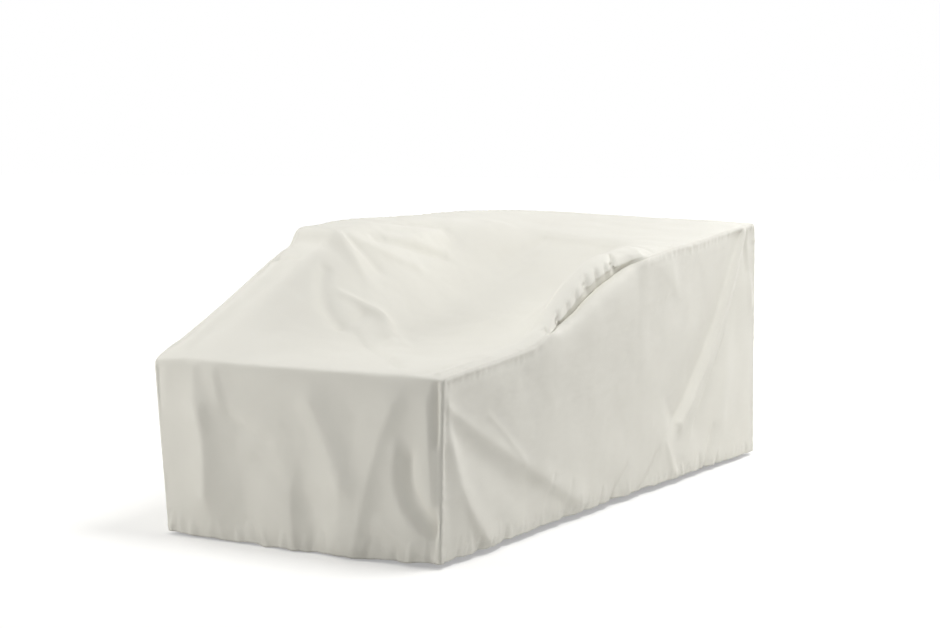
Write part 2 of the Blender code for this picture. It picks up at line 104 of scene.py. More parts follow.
# Folds, one a row: where it starts and ends on its panel, how far its middle bows to the
# left of its run, its half width, its width at the end against that at the start, how far
# it stands out (below nought for a trough), how sharp its crest is (0 round, 1 sharp) and
# its lean (above nought: the left flank is the wider one).
# On the strip a place is (X, along), where `along` is the distance behind the foot edge:
# negative down the foot face, past LENGTH down the back. On a side panel a place is
# (Y behind the foot face, Z above the hem).
FOOT_FOLDS = (
    # from_a, from_b, to_a, to_b, bow, width, spread, height, crisp, lean
    # the bulge at the left, and the dent beside it
    (-0.308, -0.015, -0.292, -0.150, 0.000, 0.026, 1.5, 0.006, 0.7, -0.4),
    (-0.284, -0.120, -0.274, -0.340, 0.006, 0.048, 1.2, 0.018, 0.7, -0.2),
    (-0.244, -0.030, -0.222, -0.110, 0.000, 0.016, 1.4, 0.006, 0.7, -0.4),
    (-0.222, -0.110, -0.085, -0.185, -0.010, 0.016, 1.2, -0.005, 0.6, -0.3),
    (-0.170, -0.200, -0.150, -0.380, 0.000, 0.050, 1.1, -0.007, 0.0, 0.0),
    # the middle
    (-0.020, -0.300, -0.010, -0.440, 0.000, 0.040, 1.3, 0.009, 0.7, -0.5),
    (-0.110, -0.240, 0.030, -0.335, 0.000, 0.030, 1.0, -0.006, 0.1, 0.0),
    (0.020, -0.260, 0.060, -0.430, 0.000, 0.034, 1.2, -0.007, 0.1, 0.0),
    (0.050, -0.085, 0.140, -0.270, 0.000, 0.044, 1.0, 0.013, 0.3, 0.0),
    (0.140, -0.270, 0.120, -0.430, 0.000, 0.040, 1.2, 0.009, 0.2, 0.0),
    (0.170, -0.100, 0.160, -0.230, 0.000, 0.030, 1.0, -0.003, 0.1, 0.0),
    # the long crease at the right, and the dent beside it
    (0.283, -0.075, 0.176, -0.420, -0.012, 0.048, 1.2, 0.015, 0.6, -0.3),
    (0.290, -0.175, 0.366, -0.375, -0.042, 0.026, 1.4, 0.010, 0.7, -0.4),
    (0.326, -0.195, 0.398, -0.350, -0.030, 0.020, 1.7, -0.018, 0.2, 0.0),
    (0.374, -0.060, 0.384, -0.300, 0.000, 0.026, 1.0, 0.007, 0.4, -0.4),
    (0.400, -0.015, 0.400, -0.150, 0.000, 0.012, 1.0, -0.007, 0.3, 0.0),
    (0.250, -0.365, 0.330, -0.405, 0.000, 0.030, 1.0, 0.007, 0.2, 0.0),
    (0.372, -0.380, 0.376, -0.440, 0.000, 0.028, 1.0, -0.006, 0.2, 0.0),
    (-0.420, -0.030, -0.425, -0.120, 0.000, 0.014, 1.0, -0.003, 0.4, 0.0),
)
TOP_FOLDS = (
    # the slope up the left arm and the dent at its foot
    (-0.385, 0.060, -0.385, 0.460, 0.000, 0.020, 1.0, 0.004, 0.2, 0.0),
    (-0.425, 0.476, -0.345, 0.494, 0.000, 0.010, 0.8, -0.011, 0.6, 0.3),
    (-0.410, 0.415, -0.280, 0.375, 0.000, 0.030, 1.2, -0.004, 0.0, 0.0),
    (-0.262, 0.505, -0.140, 0.400, -0.026, 0.018, 1.9, -0.015, 0.1, 0.0),
    (-0.136, 0.385, -0.134, 0.500, -0.006, 0.018, 0.9, -0.007, 0.6, 0.4),
    (-0.204, 0.492, -0.100, 0.545, 0.006, 0.012, 1.6, 0.011, 0.5, -0.2),
    (-0.125, 0.548, 0.035, 0.405, 0.014, 0.024, 1.2, 0.011, 0.2, 0.0),
    (0.015, 0.430, 0.185, 0.180, 0.000, 0.032, 1.2, 0.007, 0.1, 0.0),
    (-0.102, 0.420, 0.240, 0.095, 0.010, 0.015, 1.3, -0.008, 0.6, -0.4),
    # fanning from the left arm over the hollow
    (-0.292, 0.626, -0.205, 0.610, 0.000, 0.018, 1.4, 0.005, 0.1, 0.0),
    (-0.285, 0.642, -0.205, 0.680, 0.000, 0.010, 1.8, -0.006, 0.3, 0.0),
    (-0.280, 0.665, -0.180, 0.830, 0.000, 0.014, 1.8, 0.008, 0.3, 0.2),
    (-0.264, 0.745, -0.180, 0.995, 0.000, 0.012, 1.6, -0.010, 0.7, 0.2),
    (-0.262, 0.800, -0.196, 1.015, 0.000, 0.013, 1.6, 0.009, 0.5, 0.0),
    (-0.325, 0.850, -0.235, 1.090, 0.010, 0.016, 1.8, -0.014, 0.4, 0.0),
    (-0.105, 1.170, -0.050, 1.350, 0.000, 0.016, 1.2, -0.006, 0.4, 0.0),
    # the dip below the hollow's back edge
    (-0.020, 1.345, 0.190, 1.285, 0.012, 0.040, 0.9, -0.010, 0.3, -0.4),
    (-0.070, 1.120, -0.030, 1.240, 0.000, 0.016, 1.0, 0.004, 0.3, 0.0),
    (0.020, 0.600, 0.100, 0.800, 0.000, 0.024, 1.2, 0.005, 0.2, 0.0),
    # the slack cloth drawn to the right seam near the foot
    (0.386, 0.030, 0.392, 0.260, 0.000, 0.010, 1.0, 0.005, 0.4, 0.0),
    (0.350, 0.020, 0.372, 0.200, 0.000, 0.014, 1.0, -0.003, 0.3, 0.0),
    # the pleats of the roll of slack cloth along the right arm
    (0.384, 0.955, 0.350, 0.990, 0.000, 0.012, 0.4, -0.024, 0.7, 0.3),
    (0.384, 0.903, 0.372, 0.915, 0.000, 0.009, 0.5, -0.014, 0.5, 0.0),
    (0.384, 0.850, 0.370, 0.862, 0.000, 0.010, 0.5, -0.014, 0.5, 0.0),
    (0.384, 0.792, 0.364, 0.816, 0.000, 0.013, 0.4, -0.020, 0.6, 0.3),
    (0.384, 0.735, 0.372, 0.746, 0.000, 0.009, 0.5, -0.013, 0.5, 0.0),
    (0.384, 0.685, 0.372, 0.696, 0.000, 0.008, 0.5, -0.012, 0.5, 0.0),
    (0.386, 0.630, 0.366, 0.652, 0.000, 0.010, 0.4, -0.018, 0.6, 0.3),
    (0.394, 0.545, 0.372, 0.572, 0.000, 0.010, 0.5, -0.012, 0.5, 0.2),
    # drawn from the right arm's end to the seam
    (0.330, 1.130, 0.404, 1.075, 0.000, 0.010, 0.8, 0.004, 0.5, 0.0),
    (0.320, 1.180, 0.404, 1.140, 0.000, 0.010, 0.8, -0.004, 0.5, 0.0),
)
BACK_FOLDS = (
    (-0.370, 1.950, -0.160, 2.560, -0.020, 0.035, 1.5, 0.014, 0.3, 0.0),
    (-0.300, 2.100, -0.320, 2.600, 0.000, 0.035, 1.3, -0.011, 0.3, 0.0),
    (-0.020, 2.120, 0.040, 2.600, 0.000, 0.045, 1.2, -0.010, 0.2, 0.0),
    (0.360, 1.960, 0.170, 2.580, 0.020, 0.032, 1.5, 0.013, 0.3, 0.0),
    (0.320, 2.200, 0.300, 2.600, 0.000, 0.032, 1.2, -0.011, 0.3, 0.0),
)
RIGHT_FOLDS = (
    # fanning from the foot's top corner
    (0.022, 0.390, 0.225, 0.020, -0.040, 0.018, 2.4, 0.012, 0.4, 0.2),
    (0.018, 0.345, 0.430, 0.120, -0.010, 0.022, 3.0, -0.011, 0.0, 0.0),
    (0.020, 0.378, 0.700, 0.045, -0.006, 0.014, 3.6, 0.008, 0.3, -0.2),
    (0.430, 0.145, 0.700, 0.010, 0.000, 0.026, 1.5, -0.006, 0.2, 0.0),
    (0.020, 0.270, 0.070, 0.010, 0.000, 0.018, 1.3, -0.004, 0.1, 0.0),
    (0.110, 0.120, 0.190, 0.010, 0.000, 0.016, 1.5, -0.004, 0.3, 0.0),
    (0.225, 0.330, 0.410, 0.190, 0.006, 0.010, 1.4, 0.0018, 0.6, 0.0),
    # under the arm, where the wall is hollow and then flares to the hem
    (0.100, 0.290, 0.900, 0.270, 0.000, 0.120, 1.2, -0.006, 0.0, 0.0),
    (0.550, 0.450, 1.000, 0.580, 0.010, 0.070, 1.4, 0.003, 0.0, 0.0),
    (1.120, 0.655, 1.240, 0.600, 0.020, 0.045, 1.0, 0.003, 0.0, 0.0),
    (1.250, 0.660, 1.310, 0.540, -0.014, 0.020, 1.5, 0.0014, 0.2, 0.3),
    # falling from the back's top corner
    (1.790, 0.728, 1.335, 0.170, 0.036, 0.015, 1.5, 0.013, 0.7, 0.6),
    (1.768, 0.728, 1.320, 0.188, 0.036, 0.036, 1.5, -0.015, 0.1, -0.65),
    (1.815, 0.690, 1.480, 0.165, 0.034, 0.042, 1.4, -0.016, 0.1, 0.55),
    (1.800, 0.725, 1.836, 0.590, 0.000, 0.012, 1.8, -0.008, 0.5, 0.0),
    (1.826, 0.715, 1.858, 0.480, 0.000, 0.012, 1.6, 0.006, 0.4, 0.0),
    (1.700, 0.380, 1.640, 0.150, 0.000, 0.040, 1.3, 0.006, 0.1, 0.0),
    # drawn up from the hem
    (0.985, 0.095, 0.900, 0.005, 0.000, 0.014, 2.4, -0.008, 0.4, 0.3),
    (1.195, 0.110, 1.095, 0.005, 0.000, 0.014, 2.4, -0.009, 0.4, 0.3),
    (1.250, 0.120, 1.320, 0.010, 0.000, 0.014, 2.0, 0.006, 0.4, 0.0),
    (1.590, 0.130, 1.535, 0.005, 0.000, 0.012, 2.2, -0.008, 0.5, 0.3),
    (0.560, 0.130, 0.505, 0.010, 0.000, 0.012, 2.4, -0.006, 0.4, 0.2),
    (0.660, 0.095, 0.625, 0.010, 0.000, 0.012, 2.0, -0.006, 0.4, 0.2),
)
LEFT_FOLDS = (
    (0.030, 0.400, 0.160, 0.020, 0.020, 0.026, 1.3, 0.013, 0.3, 0.0),
    (0.040, 0.330, 0.340, 0.030, -0.010, 0.030, 1.6, -0.014, 0.3, 0.0),
    (0.620, 0.710, 0.400, 0.030, 0.020, 0.030, 1.5, 0.014, 0.4, 0.0),
    (0.660, 0.620, 0.560, 0.040, 0.010, 0.036, 1.5, -0.012, 0.3, 0.0),
    (1.050, 0.600, 0.920, 0.030, -0.010, 0.045, 1.3, -0.009, 0.2, 0.0),
    (1.280, 0.660, 1.220, 0.060, 0.000, 0.060, 1.2, 0.007, 0.0, 0.0),
    (1.800, 0.740, 1.420, 0.030, 0.020, 0.026, 1.5, 0.015, 0.5, 0.0),
    (1.780, 0.600, 1.620, 0.040, 0.010, 0.034, 1.3, -0.011, 0.2, 0.0),
    (0.300, 0.110, 0.260, 0.015, 0.000, 0.020, 1.2, -0.007, 0.5, 0.0),
    (0.800, 0.120, 0.740, 0.015, 0.000, 0.020, 1.2, -0.008, 0.5, 0.0),
    (1.110, 0.100, 1.060, 0.015, 0.000, 0.018, 1.2, -0.007, 0.5, 0.0),
    (1.690, 0.120, 1.650, 0.015, 0.000, 0.018, 1.1, -0.008, 0.5, 0.0),
)


# --- curves ------------------------------------------------------------------------
def soften(distance: Array, roundness: float) -> Array:
    """Turn a signed distance into nought below nought and itself above, softly joined.

    Args:
        distance: signed distances in metres.
        roundness: how wide the soft turn is.

    Returns:
        The softened distances.
    """
    return 0.5 * (distance + np.sqrt(distance**2 + roundness**2))


def ease(share: Array) -> Array:
    """Give a smooth step from 0 to 1."""
    share = np.clip(share, 0.0, 1.0)
    return share * share * (3.0 - 2.0 * share)


def smooth_curve(knots: Sequence[float], values: Sequence, at: Array) -> Array:
    """Read a smooth curve that goes through its values and never overshoots them.

    Args:
        knots: where the values are, in rising order.
        values: one a knot, each a number or an array shaped like `at`.
        at: where to read the curve.

    Returns:
        The curve's height at each place of `at`.
    """
    knots = np.asarray(knots, float)
    table = np.array(np.broadcast_arrays(*[np.asarray(v, float) for v in values]))
    steps = np.diff(knots).reshape((-1,) + (1,) * (table.ndim - 1))
    slopes = np.diff(table, axis=0) / steps
    before, after = slopes[:-1], slopes[1:]
    level = 1e-12
    total = np.where(np.abs(before + after) < level, 1.0, before + after)
    inner = np.where(before * after > 0.0, 2.0 * before * after / total, 0.0)
    tangents = np.concatenate([slopes[:1], inner, slopes[-1:]])
    at = np.asarray(at, float)
    first = np.clip(np.searchsorted(knots, at, side="right") - 1, 0, len(knots) - 2)
    width = knots[first + 1] - knots[first]
    t = np.clip((at - knots[first]) / width, 0.0, 1.0)

    def pick(rows: Array, index: Array) -> Array:
        """Take the row that each place falls in."""
        if rows.ndim == 1:
            return rows[index]
        return np.take_along_axis(rows, index[None], axis=0)[0]

    low, high = pick(table, first), pick(table, first + 1)
    rise_low, rise_high = pick(tangents, first) * width, pick(tangents, first + 1) * width
    return (
        low * (2.0 * t**3 - 3.0 * t**2 + 1.0)
        + rise_low * (t**3 - 2.0 * t**2 + t)
        + high * (3.0 * t**2 - 2.0 * t**3)
        + rise_high * (t**3 - t**2)
    )


@dataclass(frozen=True)
class Ripple:
    """Uneven waves: a sum of seeded waves of about one length.

    Attributes:
        length: usual wave length in metres.
        height: usual height in metres.
        seed: start of the random draws.
        waves: how many waves are added up.
    """

    length: float
    height: float
    seed: int
    waves: int = 14

    def at(self, a: Array, b: Array) -> Array:
        """Read the waves at places (a, b), running in every direction."""
        draw = np.random.default_rng(self.seed)
        total = np.zeros(np.broadcast(a, b).shape)
        for _ in range(self.waves):
            turn = draw.uniform(0.0, 2.0 * math.pi)
            number = 2.0 * math.pi / (self.length * draw.uniform(0.7, 1.6))
            start = draw.uniform(0.0, 2.0 * math.pi)
            total += np.cos(number * (a * math.cos(turn) + b * math.sin(turn)) + start)
        return self.height * total * math.sqrt(2.0 / self.waves)

    def along(self, run: Array) -> Array:
        """Read the waves along a line."""
        draw = np.random.default_rng(self.seed)
        total = np.zeros(np.shape(run))
        for _ in range(self.waves):
            number = 2.0 * math.pi / (self.length * draw.uniform(0.6, 1.9))
            total += np.cos(number * run + draw.uniform(0.0, 2.0 * math.pi))
        return self.height * total * math.sqrt(2.0 / self.waves)


@dataclass(frozen=True)
class Fold:
    """A ridge or trough along a bowed line on a panel; its fields are a fold row's columns.

    A fold that widens along its run stands out more and more, too.
    """

    from_a: float
    from_b: float
    to_a: float
    to_b: float
    bow: float
    width: float
    spread: float
    height: float
    crisp: float
    lean: float

    def relief(self, a: Array, b: Array) -> Array:
        """Tell how far this fold lifts the cloth at places (a, b)."""
        run_a, run_b = self.to_a - self.from_a, self.to_b - self.from_b
        length = math.hypot(run_a, run_b)
        off_a, off_b = a - self.from_a, b - self.from_b
        share = (off_a * run_a + off_b * run_b) / length**2
        inside = np.clip(share, 0.0, 1.0)
        aside = (off_b * run_a - off_a * run_b) / length
        aside = aside - 4.0 * self.bow * inside * (1.0 - inside)
        beyond = (share - inside) * length
        widening = 1.0 + (self.spread - 1.0) * inside
        width = self.width * widening
        flank = width * np.where(aside > 0.0, 1.0 + self.lean, 1.0 - self.lean)
        away = (aside / flank) ** 2 + (beyond / width) ** 2
        blunt = 0.06
        sharp = np.exp(-1.5 * (np.sqrt(away + blunt**2) - blunt))
        deepening = widening / max(1.0, self.spread)
        return self.height * deepening * ((1.0 - self.crisp) * np.exp(-away) + self.crisp * sharp)


def relief_of(rows: Sequence[Sequence[float]], a: Array, b: Array) -> Array:
    """Add up what every fold row does to the cloth at places (a, b)."""
    return sum(Fold(*row).relief(a, b) for row in rows)


# --- the cover's shape -------------------------------------------------------------
class Side(Enum):
    """Which side of the cover a panel closes; the value is the sign of its X."""

    LEFT = -1.0
    RIGHT = 1.0


@dataclass(frozen=True)
class Drape:
    """The shape in which the cover hangs on the chaise, which its panels share.

    Attributes:
        length: foot face to back face, along the top.
        top_left, top_right: X of the top's edges, before they are rounded.
        hem_left, hem_right: X of the side hems, which are drawn in.
        foot_lean, back_lean: how far the hems are drawn in under the foot and back edges.
        seam_gap: between the edges of two panels at a seam.
        seam_round: how softly the cloth turns at the side seams.
        edge_round: how softly it turns over the foot and back edges.
        edge_fade: folds die away within this distance of a seam.
        seam_reach: a side wall eases onto its seam within this distance.
        hem_foot, hem_back: the hem's height at its start, middle and end.
        hem_side_rise: how much higher a side hem is in its middle.
        slip, slip_start, slip_end: how far the left seam has slipped onto the top, and
            the stretch of the left arm's slope where it has.
        slip_comes, slip_goes: over what distance the slip starts and ends.
        tuck, tuck_start, tuck_end: how far the right seam is drawn in beside the roll
            along the right arm, and from where to where.
        tuck_comes, tuck_goes: over what distance the tuck starts and ends.
        roll_width: from the roll's crest to that seam.
        shoulder_round, groove_round: how softly a side turns over its edge and down to a
            strayed seam, as shares of how far the seam has strayed.
        seam_ease: a side eases onto a strayed seam within this distance.
    """

    length: float = 1.882
    top_left: float = -0.438
    top_right: float = 0.418
    hem_left: float = -0.408
    hem_right: float = 0.403
    foot_lean: float = 0.010
    back_lean: float = -0.046
    seam_gap: float = 0.0003
    seam_round: float = 0.007
    edge_round: float = 0.011
    edge_fade: float = 0.018
    seam_reach: float = 0.016
    hem_foot: tuple[float, ...] = (0.003, 0.000, 0.009)
    hem_back: tuple[float, ...] = (0.006, 0.010, 0.007)
    hem_side_rise: float = 0.006
    slip: float = 0.016
    slip_start: float = 0.02
    slip_end: float = 0.66
    slip_comes: float = 0.10
    slip_goes: float = 0.12
    tuck: float = 0.040
    tuck_start: float = 0.49
    tuck_end: float = 1.10
    tuck_comes: float = 0.16
    tuck_goes: float = 0.08
    roll_width: float = 0.036
    shoulder_round: float = 0.7
    groove_round: float = 0.35
    seam_ease: float = 0.010

    @property
    def width(self) -> float:
        """Give the width of the top."""
        return self.top_right - self.top_left

    @property
    def centre(self) -> Array:
        """Give the move that brings the foot face from Y = 0 to its place."""
        across = -0.5 * (self.top_left + self.top_right)
        return np.array([across, -0.5 * (self.length - self.back_lean), 0.0])

    def top_height(self, x: Array, y: Array) -> Array:
        """Read the height of the top at a place, from the sections."""
        table = np.array(SECTIONS)
        columns = [smooth_curve(table[:, 0], column, y) for column in table.T[1:]]
        return smooth_curve(COLUMN_X, columns, x)

    def slipping(self, over: Array) -> Array:
        """Tell how fully the left seam has slipped, `over` metres behind the foot edge."""
        coming = ease((over - self.slip_start) / self.slip_comes)
        return coming * ease((self.slip_end - over) / self.slip_goes)

    def tucking(self, over: Array) -> Array:
        """Tell how fully the right seam is drawn in, `over` metres behind the foot edge."""
        coming = ease((over - self.tuck_start) / self.tuck_comes)
        return coming * ease((self.tuck_end - over) / self.tuck_goes)

    def drops(self, share: Array) -> tuple[Array, Array]:
        """Give the length of the foot's and the back's fall, across the strip."""
        x = self.top_left + share * self.width
        marks = (0.0, 0.5, 1.0)
        foot = self.top_height(x, 0.0 * x) - smooth_curve(marks, self.hem_foot, share)
        back_top = self.top_height(x, 0.0 * x + self.length)
        return foot, back_top - smooth_curve(marks, self.hem_back, share)

    def strip(self, share: Array, turn: Array, squared: bool = False) -> tuple[Array, Array]:
        """Find places on the strip's plain surface.

        Args:
            share: 0 at the left seam, 1 at the right seam.
            turn: -1 at the foot hem, 0 at the foot edge, 1 at the back edge, 2 at the
                back hem.
            squared: take both seams as still on the chaise's own edges.

        Returns:
            The places, and how far along the strip each is behind the foot edge.
        """
        level = np.clip(np.minimum(1.0 + turn, 2.0 - turn), 0.0, 1.0)
        left = self.hem_left + (self.top_left - self.hem_left) * level
        right = self.hem_right + (self.top_right - self.hem_right) * level
        over = np.clip(turn, 0.0, 1.0) * self.length
        astray = 0.0 if squared else 1.0
        slipped = astray * self.slip * self.slipping(over)
        drawn_in = astray * self.tucking(over)
        tucked = self.tuck * drawn_in
        inward = slipped + share * (right - left - slipped - tucked)
        past = inward - (right - left - tucked)
        x = left + soften(inward, self.seam_round) - soften(past, self.seam_round)
        turned = soften(-inward, self.seam_round) + soften(past, self.seam_round)

        foot_drop, back_drop = self.drops(share)
        below, beyond = np.minimum(turn, 0.0), np.maximum(turn - 1.0, 0.0)
        along = over + below * foot_drop + beyond * back_drop
        down_foot = soften(-along, self.edge_round)
        down_back = soften(along - self.length, self.edge_round)
        behind = soften(along, self.edge_round) - down_back
        z = self.top_height(x, behind) - down_foot - down_back
        under = np.clip(1.0 + past / self.roll_width, 0.0, 1.0)
        x = x + drawn_in * smooth_curve(ROLL_STOPS, ROLL_OUT, under)
        z = z - drawn_in * smooth_curve(ROLL_STOPS, ROLL_DROP, under)
        y = behind + self.foot_lean * down_foot / foot_drop
        y = y - self.back_lean * down_back / back_drop

        # The way along the strip here, whose normal the rounded side edge follows.
        onto_top = 0.5 * (1.0 + along / np.hypot(along, self.edge_round))
        gone = along - self.length
        off_top = 0.5 * (1.0 + gone / np.hypot(gone, self.edge_round))
        nudge = 0.002
        rise = self.top_height(x, behind + nudge) - self.top_height(x, behind - nudge)
        way_y = onto_top - off_top
        way_z = rise / (2.0 * nudge) * way_y + (1.0 - onto_top) - off_top
        size = np.hypot(way_y, way_z)
        y = y + turned * way_z / size
        z = z - turned * way_y / size
        return np.stack([x, y, z], axis=-1), along

    def strip_normal(self, share: Array, turn: Array) -> Array:
        """Give the outward normal of the strip's plain surface."""
        nudge = 0.0008
        across = self.strip(share + nudge, turn)[0] - self.strip(share - nudge, turn)[0]
        along = self.strip(share, turn + nudge)[0] - self.strip(share, turn - nudge)[0]
        normal = np.cross(across, along)
        return normal / np.linalg.norm(normal, axis=-1, keepdims=True)


@dataclass(frozen=True)
class Sewing:
    """How the panels are sewn: seam allowances, their puckers, and the drawn-in hem.

    Attributes:
        allowance: width of the band beside a seam, where the cloth is doubled.
        step, step_width: how far that band stands proud, and how wide its step is.
        hollow, hollow_width: how deep the cloth sinks beside the band, and how widely.
        pucker, pucker_width: uneven waves along a stitched line, and how far they reach.
        hem_depth: depth of the turned hem.
        hem_step_width: how wide the step at the top of the turned hem is.
        hem_pull, pull_reach: how far the hem is drawn in at its edge, and up to where.
        gather_gap: usual distance from one gather of the hem to the next.
        gather_height: how far a gather stands out.
        gather_reach, gather_width: least and greatest height and half width of a gather.
        gather_shift: how far a gather's tip may be to either side of its root.
        hem_wave, wave_reach: uneven rise and fall of the hem's edge, and up to where.
        corner_fade: the hem's gathers and waves die away this close to a corner.
    """

    allowance: float = 0.010
    step: float = 0.0005
    step_width: float = 0.003
    hollow: float = 0.0006
    hollow_width: float = 0.010
    pucker: Ripple = Ripple(length=0.034, height=0.0005, seed=11)
    pucker_width: float = 0.014
    hem_depth: float = 0.022
    hem_step_width: float = 0.002
    hem_pull: float = 0.0015
    pull_reach: float = 0.016
    gather_gap: float = 0.036
    gather_height: float = 0.0052
    gather_reach: tuple[float, float] = (0.018, 0.050)
    gather_width: tuple[float, float] = (0.009, 0.015)
    gather_shift: float = 0.016
    hem_wave: Ripple = Ripple(length=0.070, height=0.0009, seed=31)
    wave_reach: float = 0.03
    corner_fade: float = 0.012

    def seam_relief(self, to_seam: Array, run: Array) -> Array:
        """Tell how a seam lifts the cloth beside it.

        Args:
            to_seam: distance from the seam line.
            run: distance along the seam.

        Returns:
            The lift: the doubled band, the dip beside it, and puckers across both.
        """
        band = self.step * ease((self.allowance - to_seam) / self.step_width + 0.5)
        dip = self.hollow * np.exp(-(((to_seam - 2.0 * self.allowance) / self.hollow_width) ** 2))
        fades = np.exp(-(((to_seam - self.allowance) / self.pucker_width) ** 2))
        rooted = ease(to_seam / self.step_width)
        return (band - dip + self.pucker.along(run) * fades) * rooted

    def gathers(self, start: float, end: float, seed: int) -> list[Fold]:
        """Place the gathers of one hem, on (run along the hem, height above its edge).

        Args:
            start: where the hem starts.
            end: where it ends.
            seed: start of the random draws.

        Returns:
            Short folds rising from the hem at uneven steps.
        """
        draw = np.random.default_rng(seed)
        folds = []
        at = start + 0.4 * self.gather_gap
        while at < end:
            reach = draw.uniform(*self.gather_reach)
            tip = at + draw.uniform(-self.gather_shift, self.gather_shift)
            width = draw.uniform(*self.gather_width)
            height = self.gather_height * draw.uniform(0.3, 1.0) * draw.choice((-1.0, 1.0, 1.0))
            crisp = draw.uniform(0.1, 0.6)
            folds.append(Fold(at, -0.004, tip, reach, 0.0, width, 0.5, height, crisp, 0.0))
            at += self.gather_gap * draw.uniform(0.55, 1.45)
        return folds

    def hem_relief(self, above: Array, run: Array, gathers: Sequence[Fold]) -> Array:
        """Tell how the drawn-in hem moves the cloth above it.

        Args:
            above: height above the hem's edge, in metres.
            run: distance along the hem.
            gathers: the hem's gathers.

        Returns:
            The lift off the plain surface.
        """
        pulled = -self.hem_pull * np.exp(-((above / self.pull_reach) ** 2))
        band = 0.5 * self.step * ease((self.hem_depth - above) / self.hem_step_width + 0.5)
        return sum(fold.relief(run, above) for fold in gathers) + pulled + band

    def hem_rise(self, above: Array, run: Array) -> Array:
        """Tell how the uneven hem raises or lowers the cloth above it."""
        return self.hem_wave.along(run) * np.exp(-above / self.wave_reach)


DRAPE = Drape()
SEWING = Sewing()


def spread_lines(stops: Sequence[tuple[float, float]]) -> Array:
    """Lay out lines of a grid at a spacing that changes from stop to stop.

    Args:
        stops: (place, spacing up to the next stop); the last one's spacing isn't used.

    Returns:
        The places of the lines, in rising order, both ends included.
    """
    pieces = []
    for (start, gap), (end, _) in zip(stops, stops[1:]):
        count = max(1, round((end - start) / gap))
        pieces.append(np.linspace(start, end, count, endpoint=False))
    return np.concatenate(pieces + [[stops[-1][0]]])


def put_in_scene(name: str, data: bpy.types.ID) -> bpy.types.Object:
    """Make an object of a mesh, a light or a camera, and link it to the scene."""
    made = bpy.data.objects.new(name, data)
    bpy.context.scene.collection.objects.link(made)
    return made


def cloth_grid(name: str, places: Array, flat: Array, inside_out: bool) -> bpy.types.Object:
    """Make one panel's mesh: a grid set on its places, with its flat pattern as UV map.

    Args:
        name: the piece's name.
        places: rows by columns by 3, in the frame's metres.
        flat: rows by columns by 2, the places on the flat pattern in metres.
        inside_out: whether the grid's faces have to be turned over to face outwards.

    Returns:
        The new object, linked to the scene.
    """
    rows, columns = places.shape[:2]
    grid = bmesh.new()
    bmesh.ops.create_grid(
        grid, x_segments=columns - 1, y_segments=rows - 1, size=1.0, calc_uvs=False
    )
    if inside_out:
        bmesh.ops.reverse_faces(grid, faces=grid.faces[:])
    mesh = bpy.data.meshes.new(name)
    grid.to_mesh(mesh)
    grid.free()
    mesh.vertices.foreach_set("co", places.astype(np.float32).ravel())
    corners = np.zeros(len(mesh.loops), np.int32)
    mesh.loops.foreach_get("vertex_index", corners)
    pattern = mesh.uv_layers.new(name="pattern")
    pattern.uv.foreach_set("vector", flat.reshape(-1, 2)[corners].astype(np.float32).ravel())
    mesh.update()
    mesh.shade_smooth()
    return put_in_scene(name, mesh)


@dataclass
class Panel:
    """One length of cloth of the cover.

    Attributes:
        name: the piece's name.
        node: the solid that it stands for.
        flat: its cut size, width by length; not used.
        flat_area: its cut area in square metres; not used.
        thickness: of the cloth as seen at its edges.
    """

    name: str
    node: str
    flat: tuple[float, float]
    flat_area: float
    thickness: float = 0.0014

    def surface(self, a: Array, b: Array) -> Array:
        """Find places on the panel's inner face, in the frame's metres."""
        raise NotImplementedError

    def outer_face(self, a: Array, b: Array, proud: float) -> tuple[Array, Array]:
        """Find places just outside the panel, and the normals there."""
        nudge = 0.0006
        along_a = self.surface(a + nudge, b) - self.surface(a - nudge, b)
        along_b = self.surface(a, b + nudge) - self.surface(a, b - nudge)
        normal = np.cross(along_a, along_b) * self.facing
        normal /= np.linalg.norm(normal, axis=-1, keepdims=True)
        return self.surface(a, b) + normal * (self.thickness + proud), normal

    @property
    def facing(self) -> float:
        """Tell whether the grid's own normal points outwards (1) or inwards (-1)."""
        return 1.0

    def grid_lines(self) -> tuple[Array, Array, Array]:
        """Give the grid's two parameters and the flat pattern's places."""
        raise NotImplementedError

    def build(self) -> bpy.types.Object:
        """Make the panel's mesh and give it its thickness."""
        a, b, flat = self.grid_lines()
        piece = cloth_grid(self.name, self.surface(a, b), flat, self.facing < 0.0)
        shell = piece.modifiers.new("thickness", "SOLIDIFY")
        shell.thickness = self.thickness
        shell.offset = 1.0
        return piece

    def declare(self, piece: bpy.types.Object) -> None:
        """Hang the panel on the root body, and hide the solid that it stands for."""
        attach(piece, "root")
        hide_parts(self.node)


